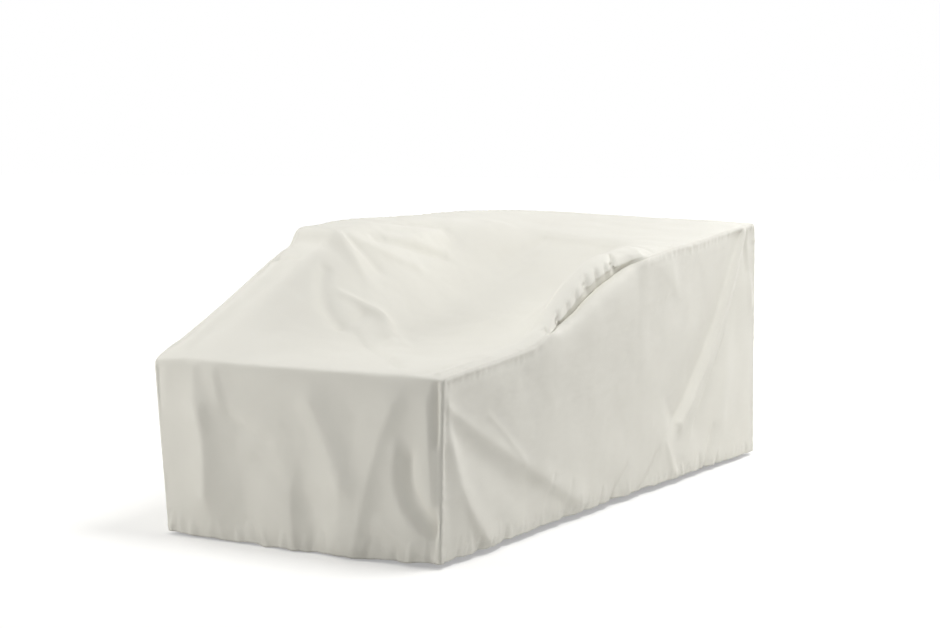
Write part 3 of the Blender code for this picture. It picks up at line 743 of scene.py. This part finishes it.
@dataclass
class CentreStrip(Panel):
    """The strip up the foot end, over the top and down the back, in one length.

    Attributes:
        ripple, crinkle: the slow and the fine unevenness of its cloth.
        gather_seeds: for the gathers of the foot hem and of the back hem.
        fold_ease: folds of the foot and of the top meet within this distance of the edge.
    """

    ripple: Ripple = Ripple(length=0.15, height=0.0006, seed=5)
    crinkle: Ripple = Ripple(length=0.045, height=0.00015, seed=6, waves=18)
    gather_seeds: tuple[int, int] = (41, 42)
    fold_ease: float = 0.02

    def surface(self, a: Array, b: Array) -> Array:
        """Find places on the strip: `a` is the share across, `b` the turn along it."""
        base, along = DRAPE.strip(a, b)
        to_seam = np.minimum(a, 1.0 - a) * DRAPE.width
        x = base[..., 0]
        folds = relief_of(FOOT_FOLDS, x, along) * ease(-along / self.fold_ease)
        folds += relief_of(TOP_FOLDS + BACK_FOLDS, x, along) * ease(along / self.fold_ease)
        folds += self.ripple.at(x, along) + self.crinkle.at(x, along)
        relief = folds * ease(to_seam / DRAPE.edge_fade)
        relief += SEWING.seam_relief(to_seam, along)
        foot_drop, back_drop = DRAPE.drops(a)
        place = base + DRAPE.centre
        rooted = ease(to_seam / SEWING.corner_fade)
        foot_seed, back_seed = self.gather_seeds
        for above, by_hem, seed in (
            ((1.0 + b) * foot_drop, b < -0.5, foot_seed),
            ((2.0 - b) * back_drop, b > 1.5, back_seed),
        ):
            gathers = SEWING.gathers(DRAPE.hem_left, DRAPE.hem_right, seed)
            relief += SEWING.hem_relief(above, x, gathers) * by_hem * rooted
            place[..., 2] += SEWING.hem_rise(above, x + seed) * by_hem * rooted
        return place + DRAPE.strip_normal(a, b) * relief[..., None]

    def grid_lines(self) -> tuple[Array, Array, Array]:
        """Give shares and turns, closer together where the cloth is folded most."""
        length, width = DRAPE.length, DRAPE.width
        across = spread_lines(
            (
                (0.0, 0.0025), (0.02, 0.0076), (width - 0.12, 0.0045),
                (width - 0.05, 0.0016), (width, 0.0),
            )
        )
        over = spread_lines(
            (
                (0.0, 0.003), (0.03, 0.010), (0.34, 0.0068), (1.06, 0.010),
                (1.40, 0.020), (length - 0.03, 0.004), (length, 0.0),
            )
        )
        fall = spread_lines(((0.0, 0.010), (0.15, 0.024), (0.96, 0.010), (1.0, 0.0)))
        turns = np.concatenate([fall - 1.0, over[1:-1] / length, 2.0 - fall[::-1]])
        a, b = np.meshgrid(across / width, turns)
        along = DRAPE.strip(a, b)[1]
        return a, b, np.stack([a * width, along], axis=-1)


@dataclass
class SidePanel(Panel):
    """A side of the cover, cut to the chaise's outline.

    Attributes:
        side: the side that it closes.
        folds: its fold rows.
        gather_seed: for the gathers of its hem.
        ripple, crinkle: the slow and the fine unevenness of its cloth.
        run_start: where its seam's puckers start, so that they aren't the strip's.
    """

    side: Side = Side.RIGHT
    folds: tuple[tuple[float, ...], ...] = ()
    gather_seed: int = 44
    ripple: Ripple = Ripple(length=0.17, height=0.0007, seed=8)
    crinkle: Ripple = Ripple(length=0.05, height=0.00015, seed=9, waves=18)
    run_start: float = 0.4

    @property
    def facing(self) -> float:
        """Tell whether the grid's own normal points outwards (1) or inwards (-1)."""
        return self.side.value

    def seam(self, turn: Array, squared: bool = False) -> Array:
        """Find places on the seam line, around from the foot hem to the back hem."""
        step = DRAPE.seam_gap / DRAPE.width
        share = -step if self.side is Side.LEFT else 1.0 + step
        turn = np.asarray(turn, float)
        return DRAPE.strip(np.full(turn.shape, share), turn, squared)[0]

    def wall(
        self, up: Array | float, place: Array, foot: Array, top: Array, back: Array
    ) -> tuple[Array, list[Array]]:
        """Give X of the plain wall at a place, turned in towards its edges.

        Args:
            up: 0 at the hem, 1 at the top edge.
            place: the place itself.
            foot, top, back: the edge places level with it or above it.

        Returns:
            The X, and the distances from the foot, top and back edges.
        """
        gaps = [
            np.maximum(place[..., 1] - foot[..., 1], 0.0),
            np.maximum(top[..., 2] - place[..., 2], 0.0),
            np.maximum(back[..., 1] - place[..., 1], 0.0),
        ]
        half_round = 0.5 * DRAPE.seam_round
        turned_in = half_round**2 * sum(1.0 / (gap + half_round) for gap in gaps)
        low, high = DRAPE.hem_right, DRAPE.top_right
        if self.side is Side.LEFT:
            low, high = DRAPE.hem_left, DRAPE.top_left
        return low + (high - low) * up - self.side.value * turned_in, gaps

    def carry_over(self, place: Array, edge: Array, seam: Array, hem: Array) -> Array:
        """Carry the wall over the top edge, where its seam has strayed from that edge.

        Args:
            place: places on the wall as if its seam were on the edge; they are moved.
            edge, seam, hem: the edge, the seam and the hem above and below them.

        Returns:
            How far each place is from the seam, along the cloth.
        """
        least = 1e-6
        inward = np.maximum(-self.side.value * (seam[..., 0] - edge[..., 0]), least)
        sunk = np.maximum(edge[..., 2] - seam[..., 2], 0.0)
        reach = inward + sunk
        fall = edge[..., 2] - place[..., 2]
        past = reach - fall * (1.0 + reach / (edge[..., 2] - hem[..., 2]))
        outer, inner = DRAPE.shoulder_round * inward, DRAPE.groove_round * inward
        over, down = soften(past, outer), soften(past - inward, inner)
        end_in = soften(reach, outer) - soften(sunk, inner)
        end_down = soften(-reach, outer) + soften(sunk, inner)
        at_seam = np.exp(-(reach - past) / DRAPE.seam_ease)
        place[..., 0] -= self.side.value * (over - down) * inward / end_in
        place[..., 2] = edge[..., 2] - soften(-past, outer) - down
        place[..., 2] += at_seam * (end_down - sunk)
        place[..., 1] += at_seam * (seam[..., 1] - edge[..., 1])
        return reach - past

    def surface(self, a: Array, b: Array) -> Array:
        """Find places on the panel: `a` from foot to back, `b` from hem to seam.

        `a` and `b` may be a row and a column, which is the quick way to work out a grid.
        """
        foot, top, back = self.seam(b - 1.0), self.seam(a, squared=True), self.seam(2.0 - b)
        foot_hem, foot_top, back_top, back_hem = self.seam([-1.0, 0.0, 1.0, 2.0])

        u, v = np.asarray(a)[..., None], np.asarray(b)[..., None]
        hem = foot_hem + (back_hem - foot_hem) * u
        hem[..., 2] += DRAPE.hem_side_rise * np.sin(np.pi * a)
        low_corners = (1.0 - u) * foot_hem + u * back_hem
        high_corners = (1.0 - u) * foot_top + u * back_top
        ends = (1.0 - u) * foot + u * back
        place = ends + (1.0 - v) * (hem - low_corners) + v * (top - high_corners)

        wall, gaps = self.wall(b, place, foot, top, back)
        miss_foot = foot[..., 0] - self.wall(b, foot, foot, foot_top, back)[0]
        miss_top = top[..., 0] - self.wall(1.0, top, foot_top, top, back_top)[0]
        miss_back = back[..., 0] - self.wall(b, back, foot, back_top, back)[0]
        at_foot_top = self.wall(1.0, foot_top, foot_top, foot_top, back_top)[0]
        at_back_top = self.wall(1.0, back_top, foot_top, back_top, back_top)[0]
        by_foot, by_top, by_back = (np.exp(-gap / DRAPE.seam_reach) for gap in gaps)
        place[..., 0] = wall + (
            by_foot * (miss_foot - by_top * (foot_top[0] - at_foot_top))
            + by_back * (miss_back - by_top * (back_top[0] - at_back_top))
            + by_top * miss_top
        )

        to_top = self.carry_over(place, top, self.seam(a), hem)
        y, z = place[..., 1], place[..., 2]
        to_seam = np.minimum(np.minimum(gaps[0], to_top), gaps[2])
        relief = relief_of(self.folds, y, z) + self.ripple.at(y, z) + self.crinkle.at(y, z)
        relief *= ease(to_seam / DRAPE.edge_fade)
        run = np.where(to_top < np.minimum(gaps[0], gaps[2]), y, z)
        relief += SEWING.seam_relief(to_seam, run + self.run_start)
        above = z - hem[..., 2]
        rooted = ease(np.minimum(gaps[0], gaps[2]) / SEWING.corner_fade)
        gathers = SEWING.gathers(0.0, DRAPE.length, self.gather_seed)
        relief += SEWING.hem_relief(above, y, gathers) * rooted
        place[..., 2] += SEWING.hem_rise(above, y) * rooted
        place[..., 0] += self.side.value * relief
        return place + DRAPE.centre

    def grid_lines(self) -> tuple[Array, Array, Array]:
        """Give places from foot to back and hem to seam, closer together at the edges."""
        length = DRAPE.length
        along = spread_lines(
            ((0.0, 0.0025), (0.03, 0.006), (length - 0.03, 0.0025), (length, 0.0))
        )
        up = spread_lines(
            ((0.0, 0.007), (0.10, 0.010), (0.84, 0.005), (0.93, 0.004), (0.985, 0.0016), (1.0, 0.0))
        )
        a, b = along[None, :] / length, up[:, None]
        place = self.surface(a, b) - DRAPE.centre
        return a, b, place[..., 1:]


# --- stitching ---------------------------------------------------------------------
@dataclass(frozen=True)
class Stitching:
    """Rows of sewn stitches: along the seams of the strip and above every hem.

    Attributes:
        pitch: from one stitch to the next.
        length: of the thread seen in one stitch.
        thread: half thickness of the thread.
        showing: how much of that half thickness its middle stands off the cloth.
        beside_seam: distance of a seam's row from the seam line.
        above_hem: height of a hem's row above the hem's edge.
        seam_places, end_places, side_places: how many places a row along a seam, an end's
            hem and a side's hem is read at.
    """

    pitch: float = 0.0042
    length: float = 0.0030
    thread: float = 0.00035
    showing: float = 0.3
    beside_seam: float = 0.0085
    above_hem: float = 0.021
    seam_places: int = 1800
    end_places: int = 500
    side_places: int = 1100

    @property
    def proud(self) -> float:
        """Tell how far a stitch's middle stands off the cloth."""
        return self.thread * self.showing

    def sew(self, into: bmesh.types.BMesh, line: Array, normals: Array) -> int:
        """Put stitches at even steps along a line.

        Args:
            into: the mesh that takes the stitches.
            line: places close together along the row.
            normals: the cloth's outward normal at each place.

        Returns:
            How many stitches the row has.
        """
        run = np.concatenate([[0.0], np.cumsum(np.linalg.norm(np.diff(line, axis=0), axis=1))])
        at = np.arange(0.5 * self.pitch, run[-1], self.pitch)
        middle = np.stack([np.interp(at, run, column) for column in line.T], axis=-1)
        nudge = 0.001
        ahead = np.stack([np.interp(at + nudge, run, column) for column in line.T], axis=-1)
        upward = np.stack([np.interp(at, run, column) for column in normals.T], axis=-1)
        for place, forward, normal in zip(middle, ahead - middle, upward):
            way = Vector(forward).normalized()
            up = Vector(normal).normalized()
            across = up.cross(way).normalized()
            turn = Matrix((way, across, up)).transposed().to_4x4()
            size = Matrix.Diagonal((0.5 * self.length, self.thread, self.thread, 1.0))
            bmesh.ops.create_icosphere(
                into, subdivisions=1, radius=1.0, matrix=Matrix.Translation(place) @ turn @ size
            )
        return len(at)

    def build(self, name: str, strip: CentreStrip, sides: Sequence[SidePanel]) -> bpy.types.Object:
        """Make all the stitches as one piece."""
        thread = bmesh.new()
        turns = np.linspace(-1.0, 2.0, self.seam_places)
        from_edge = self.beside_seam / DRAPE.width
        for share in (from_edge, 1.0 - from_edge):
            self.sew(thread, *strip.outer_face(np.full(turns.shape, share), turns, self.proud))
        across = np.linspace(0.004, 0.996, self.end_places)
        foot_drop, back_drop = DRAPE.drops(across)
        for turn in (self.above_hem / foot_drop - 1.0, 2.0 - self.above_hem / back_drop):
            self.sew(thread, *strip.outer_face(across, turn, self.proud))
        along = np.linspace(0.003, 0.997, self.side_places)
        for side in sides:
            rise = side.surface(along, np.ones(along.shape))[:, 2]
            up = self.above_hem / rise
            self.sew(thread, *side.outer_face(along, up, self.proud))
        mesh = bpy.data.meshes.new(name)
        thread.to_mesh(mesh)
        thread.free()
        mesh.shade_smooth()
        return put_in_scene(name, mesh)


# --- finishes ----------------------------------------------------------------------
class Port(Enum):
    """Kinds of socket on a node group."""

    VALUE = "NodeSocketFloat"
    PLACE = "NodeSocketVector"


def node_group(name: str, takes: dict[str, Port], gives: dict[str, Port]) -> bpy.types.NodeTree:
    """Start a shader node group with named sockets."""
    group = bpy.data.node_groups.new(name, "ShaderNodeTree")
    for label, port in takes.items():
        group.interface.new_socket(name=label, in_out="INPUT", socket_type=port.value)
    for label, port in gives.items():
        group.interface.new_socket(name=label, in_out="OUTPUT", socket_type=port.value)
    group.nodes.new("NodeGroupInput").name = "in"
    group.nodes.new("NodeGroupOutput").name = "out"
    return group


def math_node(tree: bpy.types.NodeTree, operation: str, *values: object) -> bpy.types.NodeSocket:
    """Add a Math node.

    Args:
        tree: the tree that takes it.
        operation: the node's operation.
        values: a number or an output socket for each input.

    Returns:
        The node's output.
    """
    node = tree.nodes.new("ShaderNodeMath")
    node.operation = operation
    for socket, value in zip(node.inputs, values):
        if isinstance(value, (int, float)):
            socket.default_value = value
        else:
            tree.links.new(value, socket)
    return node.outputs[0]


def noise_node(
    tree: bpy.types.NodeTree, place: bpy.types.NodeSocket, scale: float, detail: float
) -> bpy.types.NodeSocket:
    """Add a noise texture read at a place, and give its value."""
    node = tree.nodes.new("ShaderNodeTexNoise")
    node.inputs["Scale"].default_value = scale
    node.inputs["Detail"].default_value = detail
    tree.links.new(place, node.inputs["Vector"])
    return node.outputs["Fac"]


def ramp_node(
    tree: bpy.types.NodeTree, value: bpy.types.NodeSocket, colours: Sequence[Triple],
    stops: tuple[float, float] = (0.0, 1.0),
) -> bpy.types.NodeSocket:
    """Add a ramp from one colour to another.

    Args:
        tree: the tree that takes it.
        value: the value that it reads.
        colours: the low and the high colour.
        stops: the values at which they are full.

    Returns:
        The ramp's colour.
    """
    ramp = tree.nodes.new("ShaderNodeValToRGB")
    for element, colour, stop in zip(ramp.color_ramp.elements, colours, stops):
        element.position = stop
        element.color = (*colour, 1.0)
    tree.links.new(value, ramp.inputs["Fac"])
    return ramp.outputs["Color"]


def range_node(
    tree: bpy.types.NodeTree, value: bpy.types.NodeSocket, gives: tuple[float, float],
    takes: tuple[float, float] = (0.0, 1.0), soft: bool = False,
) -> bpy.types.NodeSocket:
    """Add a Map Range node.

    Args:
        tree: the tree that takes it.
        value: the value that it reads.
        gives: what it gives at the ends of the range.
        takes: the ends of the range.
        soft: whether it eases in and out.

    Returns:
        The node's output.
    """
    node = tree.nodes.new("ShaderNodeMapRange")
    node.interpolation_type = "SMOOTHSTEP" if soft else "LINEAR"
    for label, end in zip(("From Min", "From Max", "To Min", "To Max"), (*takes, *gives)):
        node.inputs[label].default_value = end
    tree.links.new(value, node.inputs["Value"])
    return node.outputs["Result"]


def new_material(name: str) -> tuple[bpy.types.Material, bpy.types.NodeTree, bpy.types.Node]:
    """Start a material, and give it with its tree and its Principled BSDF."""
    material = bpy.data.materials.new(name)
    material.use_nodes = True
    return material, material.node_tree, material.node_tree.nodes["Principled BSDF"]


def weave_group() -> bpy.types.NodeTree:
    """Make the plain weave: threads over and under each other, on a pattern in metres."""
    group = node_group(
        "plain_weave",
        {"Pattern": Port.PLACE, "Threads a metre": Port.VALUE},
        {"Height": Port.VALUE},
    )
    given, out = group.nodes["in"], group.nodes["out"]
    split = group.nodes.new("ShaderNodeSeparateXYZ")
    group.links.new(given.outputs["Pattern"], split.inputs[0])
    turns = math_node(group, "MULTIPLY", given.outputs["Threads a metre"], math.pi)
    across = math_node(group, "SINE", math_node(group, "MULTIPLY", split.outputs["X"], turns))
    along = math_node(group, "SINE", math_node(group, "MULTIPLY", split.outputs["Y"], turns))
    crossing = math_node(group, "MULTIPLY", across, along)
    warp_on_top = math_node(group, "GREATER_THAN", crossing, 0.0)
    warp = math_node(group, "ABSOLUTE", across)
    weft = math_node(group, "ABSOLUTE", along)
    chosen = math_node(
        group,
        "ADD",
        math_node(group, "MULTIPLY", warp, warp_on_top),
        math_node(group, "MULTIPLY", weft, math_node(group, "SUBTRACT", 1.0, warp_on_top)),
    )
    group.links.new(chosen, out.inputs["Height"])
    return group


def handled_group() -> bpy.types.NodeTree:
    """Make the unevenness of handled cloth: slow clouds, and fine crumples."""
    group = node_group(
        "handled_cloth", {"Pattern": Port.PLACE}, {"Clouds": Port.VALUE, "Crumple": Port.VALUE}
    )
    given, out = group.nodes["in"], group.nodes["out"]
    clouds = noise_node(group, given.outputs["Pattern"], 5.0, 3.0)
    group.links.new(clouds, out.inputs["Clouds"])
    crumple = noise_node(group, given.outputs["Pattern"], 60.0, 4.0)
    group.links.new(crumple, out.inputs["Crumple"])
    return group


@dataclass(frozen=True)
class ClothFinish:
    """Coated woven polyester: matt, off-white, with a faint sheen.

    Attributes:
        name: the material's name.
        light: its colour where the slow clouds are high, and on the threads' crowns.
        deep: its colour where the clouds are low, and in the painted shade between the threads.
        roughness: lowest and highest roughness.
        threads: threads a metre.
        weave_height: how far the threads stand out.
        crumple_height: how far the fine crumples stand out.
        specular: strength of its plain reflection.
        sheen: strength of its velvety edge light.
    """

    name: str
    light: Triple = (0.815, 0.800, 0.732)
    deep: Triple = (0.785, 0.768, 0.700)
    roughness: tuple[float, float] = (0.56, 0.66)
    threads: float = 1300.0
    weave_height: float = 0.00012
    crumple_height: float = 0.00035
    specular: float = 0.32
    sheen: float = 0.10

    def make(self, weave: bpy.types.NodeTree, handled: bpy.types.NodeTree) -> bpy.types.Material:
        """Build the material from the shared groups."""
        material, tree, shader = new_material(self.name)
        shader.inputs["Metallic"].default_value = 0.0
        shader.inputs["Specular IOR Level"].default_value = self.specular
        shader.inputs["Sheen Weight"].default_value = self.sheen
        shader.inputs["Sheen Roughness"].default_value = 0.5

        pattern = tree.nodes.new("ShaderNodeUVMap")
        pattern.uv_map = "pattern"
        threads = tree.nodes.new("ShaderNodeGroup")
        threads.node_tree = weave
        threads.inputs["Threads a metre"].default_value = self.threads
        worn = tree.nodes.new("ShaderNodeGroup")
        worn.node_tree = handled
        for node in (threads, worn):
            tree.links.new(pattern.outputs["UV"], node.inputs["Pattern"])

        # The colour follows the random clouds and the weave's height, so the gaps between the
        # threads get painted shade.
        clouds_and_weave_shade = math_node(
            tree,
            "ADD",
            math_node(tree, "MULTIPLY", worn.outputs["Clouds"], 0.75),
            math_node(tree, "MULTIPLY", threads.outputs["Height"], 0.25),
        )
        colour = ramp_node(tree, clouds_and_weave_shade, (self.deep, self.light), stops=(0.30, 0.72))
        tree.links.new(colour, shader.inputs["Base Color"])
        gloss = range_node(tree, worn.outputs["Crumple"], self.roughness, takes=(0.3, 0.7))
        tree.links.new(gloss, shader.inputs["Roughness"])

        height = math_node(
            tree,
            "ADD",
            math_node(tree, "MULTIPLY", threads.outputs["Height"], self.weave_height),
            math_node(tree, "MULTIPLY", worn.outputs["Crumple"], self.crumple_height),
        )
        bump = tree.nodes.new("ShaderNodeBump")
        bump.inputs["Strength"].default_value = 1.0
        bump.inputs["Distance"].default_value = 1.0
        tree.links.new(height, bump.inputs["Height"])
        tree.links.new(bump.outputs["Normal"], shader.inputs["Normal"])
        return material


@dataclass(frozen=True)
class ThreadFinish:
    """Twisted polyester thread, a shade lighter than the cloth.

    Attributes:
        name: the material's name.
        colours: the thread's two colours along its twist.
        twist: turns a metre.
        roughness: lowest and highest roughness.
    """

    name: str = "sewing_thread"
    colours: tuple[Triple, Triple] = ((0.76, 0.75, 0.70), (0.86, 0.85, 0.81))
    twist: float = 1500.0
    roughness: tuple[float, float] = (0.45, 0.60)

    def make(self) -> bpy.types.Material:
        """Build the material on Object coordinates, since stitches are too small for a pattern."""
        material, tree, shader = new_material(self.name)
        shader.inputs["Specular IOR Level"].default_value = 0.4
        place = tree.nodes.new("ShaderNodeTexCoord").outputs["Object"]
        twist = noise_node(tree, place, self.twist, 1.0)
        colour = ramp_node(tree, twist, self.colours, stops=(0.35, 0.65))
        tree.links.new(colour, shader.inputs["Base Color"])
        tree.links.new(range_node(tree, twist, self.roughness), shader.inputs["Roughness"])
        return material


# --- studio ------------------------------------------------------------------------
@dataclass(frozen=True)
class Lamp:
    """A soft square light.

    Attributes:
        name: the light's name.
        place: where it stands.
        power: in watts.
        colour: of its light.
        aims_at: what it points at.
        size: length of its side.
    """

    name: str
    place: Triple
    power: float
    colour: Triple
    aims_at: Triple = (0.0, 0.0, 0.35)
    size: float = 1.6

    def hang(self) -> None:
        """Put the light in the scene."""
        light = bpy.data.lights.new(self.name, "AREA")
        light.shape = "SQUARE"
        light.size = self.size
        light.energy = self.power
        light.color = self.colour
        lamp = put_in_scene(self.name, light)
        lamp.location = self.place
        lamp.visible_camera = False
        toward = Vector(self.aims_at) - Vector(self.place)
        lamp.rotation_euler = toward.to_track_quat("-Z", "Y").to_euler()


@dataclass(frozen=True)
class Studio:
    """A pale floor, a white surround, soft lights and the camera.

    Attributes:
        camera_place: where the camera stands.
        camera_tilt: how far it looks down, in degrees.
        camera_turn: how far it is turned about +Z, in degrees.
        lens, sensor: its focal length and its sensor's width, in millimetres.
        floor_reach: from the floor's middle to its edges.
        floor_colours: the floor's two colours.
        floor_below: how far the floor is below the lowest edge of the hem.
        floor_lift, far_lift: how much the floor is whitened where it is seen, beside the
            cover and far from it.
        near, far: how far from the cover that change starts and ends.
        surround: strength of the light from all round.
        lamps: the soft lights.
    """

    camera_place: Triple = (2.5804, -4.4775, 0.951)
    camera_tilt: float = 4.981
    camera_turn: float = 30.646
    lens: float = 69.86
    sensor: float = 36.0
    floor_reach: float = 60.0
    floor_colours: tuple[Triple, Triple] = ((0.690, 0.685, 0.670), (0.710, 0.705, 0.690))
    floor_below: float = 0.001
    floor_lift: float = 0.36
    far_lift: float = 0.90
    near: float = 1.6
    far: float = 5.0
    surround: float = 0.35
    lamps: tuple[Lamp, ...] = (
        Lamp("overhead", (1.6, 0.0, 4.3), 104.0, (1.0, 1.0, 1.0)),
        Lamp("behind", (0.0, 4.2, 1.25), 89.0, (1.0, 1.0, 0.99)),
        Lamp("front_left", (-3.0, -3.0, 1.25), 62.0, (1.0, 0.99, 0.97)),
        Lamp("back_right", (3.0, 3.0, 1.25), 39.0, (1.0, 0.99, 0.97)),
        Lamp("left", (-3.3, 0.0, 3.1), 29.0, (1.0, 1.0, 0.98)),
    )

    def set_camera(self) -> None:
        """Create the camera and make it the scene's."""
        camera = put_in_scene("camera", bpy.data.cameras.new("camera"))
        camera.data.lens = self.lens
        camera.data.sensor_width = self.sensor
        camera.location = self.camera_place
        tilt, turn = math.radians(90.0 - self.camera_tilt), math.radians(self.camera_turn)
        camera.rotation_euler = (tilt, 0.0, turn)
        bpy.context.scene.camera = camera

    def lay_floor(self, lowest: float) -> None:
        """Lay the pale floor just under the hem."""
        plane = bmesh.new()
        bmesh.ops.create_grid(plane, x_segments=1, y_segments=1, size=self.floor_reach)
        bmesh.ops.translate(plane, verts=plane.verts, vec=(0.0, 0.0, lowest - self.floor_below))
        mesh = bpy.data.meshes.new("floor")
        plane.to_mesh(mesh)
        plane.free()
        floor = put_in_scene("floor", mesh)
        material, tree, shader = new_material("pale_floor")
        shader.inputs["Roughness"].default_value = 1.0
        shader.inputs["Specular IOR Level"].default_value = 0.0
        place = tree.nodes.new("ShaderNodeTexCoord").outputs["Object"]
        colour = ramp_node(tree, noise_node(tree, place, 2.0, 2.0), self.floor_colours)
        tree.links.new(colour, shader.inputs["Base Color"])
        shader.inputs["Emission Color"].default_value = (1.0, 1.0, 1.0, 1.0)
        seen = tree.nodes.new("ShaderNodeLightPath").outputs["Is Camera Ray"]
        away = tree.nodes.new("ShaderNodeVectorMath")
        away.operation = "LENGTH"
        tree.links.new(place, away.inputs[0])
        lifts, span = (self.floor_lift, self.far_lift), (self.near, self.far)
        whiter = range_node(tree, away.outputs["Value"], lifts, takes=span, soft=True)
        lift = math_node(tree, "MULTIPLY", seen, whiter)
        tree.links.new(lift, shader.inputs["Emission Strength"])
        mesh.materials.append(material)
        floor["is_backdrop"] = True

    def light(self) -> None:
        """Light the scene from all round and with the lamps, on a white surround."""
        world = bpy.data.worlds.new("surround")
        bpy.context.scene.world = world
        world.use_nodes = True
        tree = world.node_tree
        soft = tree.nodes["Background"]
        soft.inputs["Color"].default_value = (1.0, 1.0, 1.0, 1.0)
        soft.inputs["Strength"].default_value = self.surround
        white = tree.nodes.new("ShaderNodeBackground")
        white.inputs["Color"].default_value = (1.0, 1.0, 1.0, 1.0)
        mix = tree.nodes.new("ShaderNodeMixShader")
        path = tree.nodes.new("ShaderNodeLightPath")
        tree.links.new(path.outputs["Is Camera Ray"], mix.inputs["Fac"])
        tree.links.new(soft.outputs[0], mix.inputs[1])
        tree.links.new(white.outputs[0], mix.inputs[2])
        tree.links.new(mix.outputs[0], tree.nodes["World Output"].inputs["Surface"])
        for lamp in self.lamps:
            lamp.hang()
        bpy.context.scene.view_settings.view_transform = "Standard"


def main() -> None:
    studio = Studio()
    studio.set_camera()

    weave, handled = weave_group(), handled_group()
    strip_cloth = ClothFinish("strip_cloth").make(weave, handled)
    side_cloth = ClothFinish("side_cloth").make(weave, handled)

    strip = CentreStrip("strip_panel", "centre_strip", (0.90, 3.10), 2.72)
    left = SidePanel(
        "left_panel", "left_side", (1.95, 0.78), 1.33,
        side=Side.LEFT, folds=LEFT_FOLDS, gather_seed=43,
    )
    right = SidePanel(
        "right_panel", "right_side", (1.95, 0.75), 1.14,
        side=Side.RIGHT, folds=RIGHT_FOLDS, gather_seed=44,
    )
    for panel, cloth in ((strip, strip_cloth), (left, side_cloth), (right, side_cloth)):
        piece = panel.build()
        piece.data.materials.append(cloth)
        panel.declare(piece)
        LOG.info("%s: %d faces", piece.name, len(piece.data.polygons))

    stitches = Stitching().build("stitching", strip, (left, right))
    stitches.data.materials.append(ThreadFinish().make())
    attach(stitches, "root")
    LOG.info("%s: %d faces", stitches.name, len(stitches.data.polygons))

    bpy.context.view_layer.update()
    visual_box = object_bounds()
    studio.lay_floor(visual_box[0][2])
    studio.light()


if __name__ == "__main__":
    logging.basicConfig(level=logging.INFO, format="%(name)s: %(message)s")
    main()
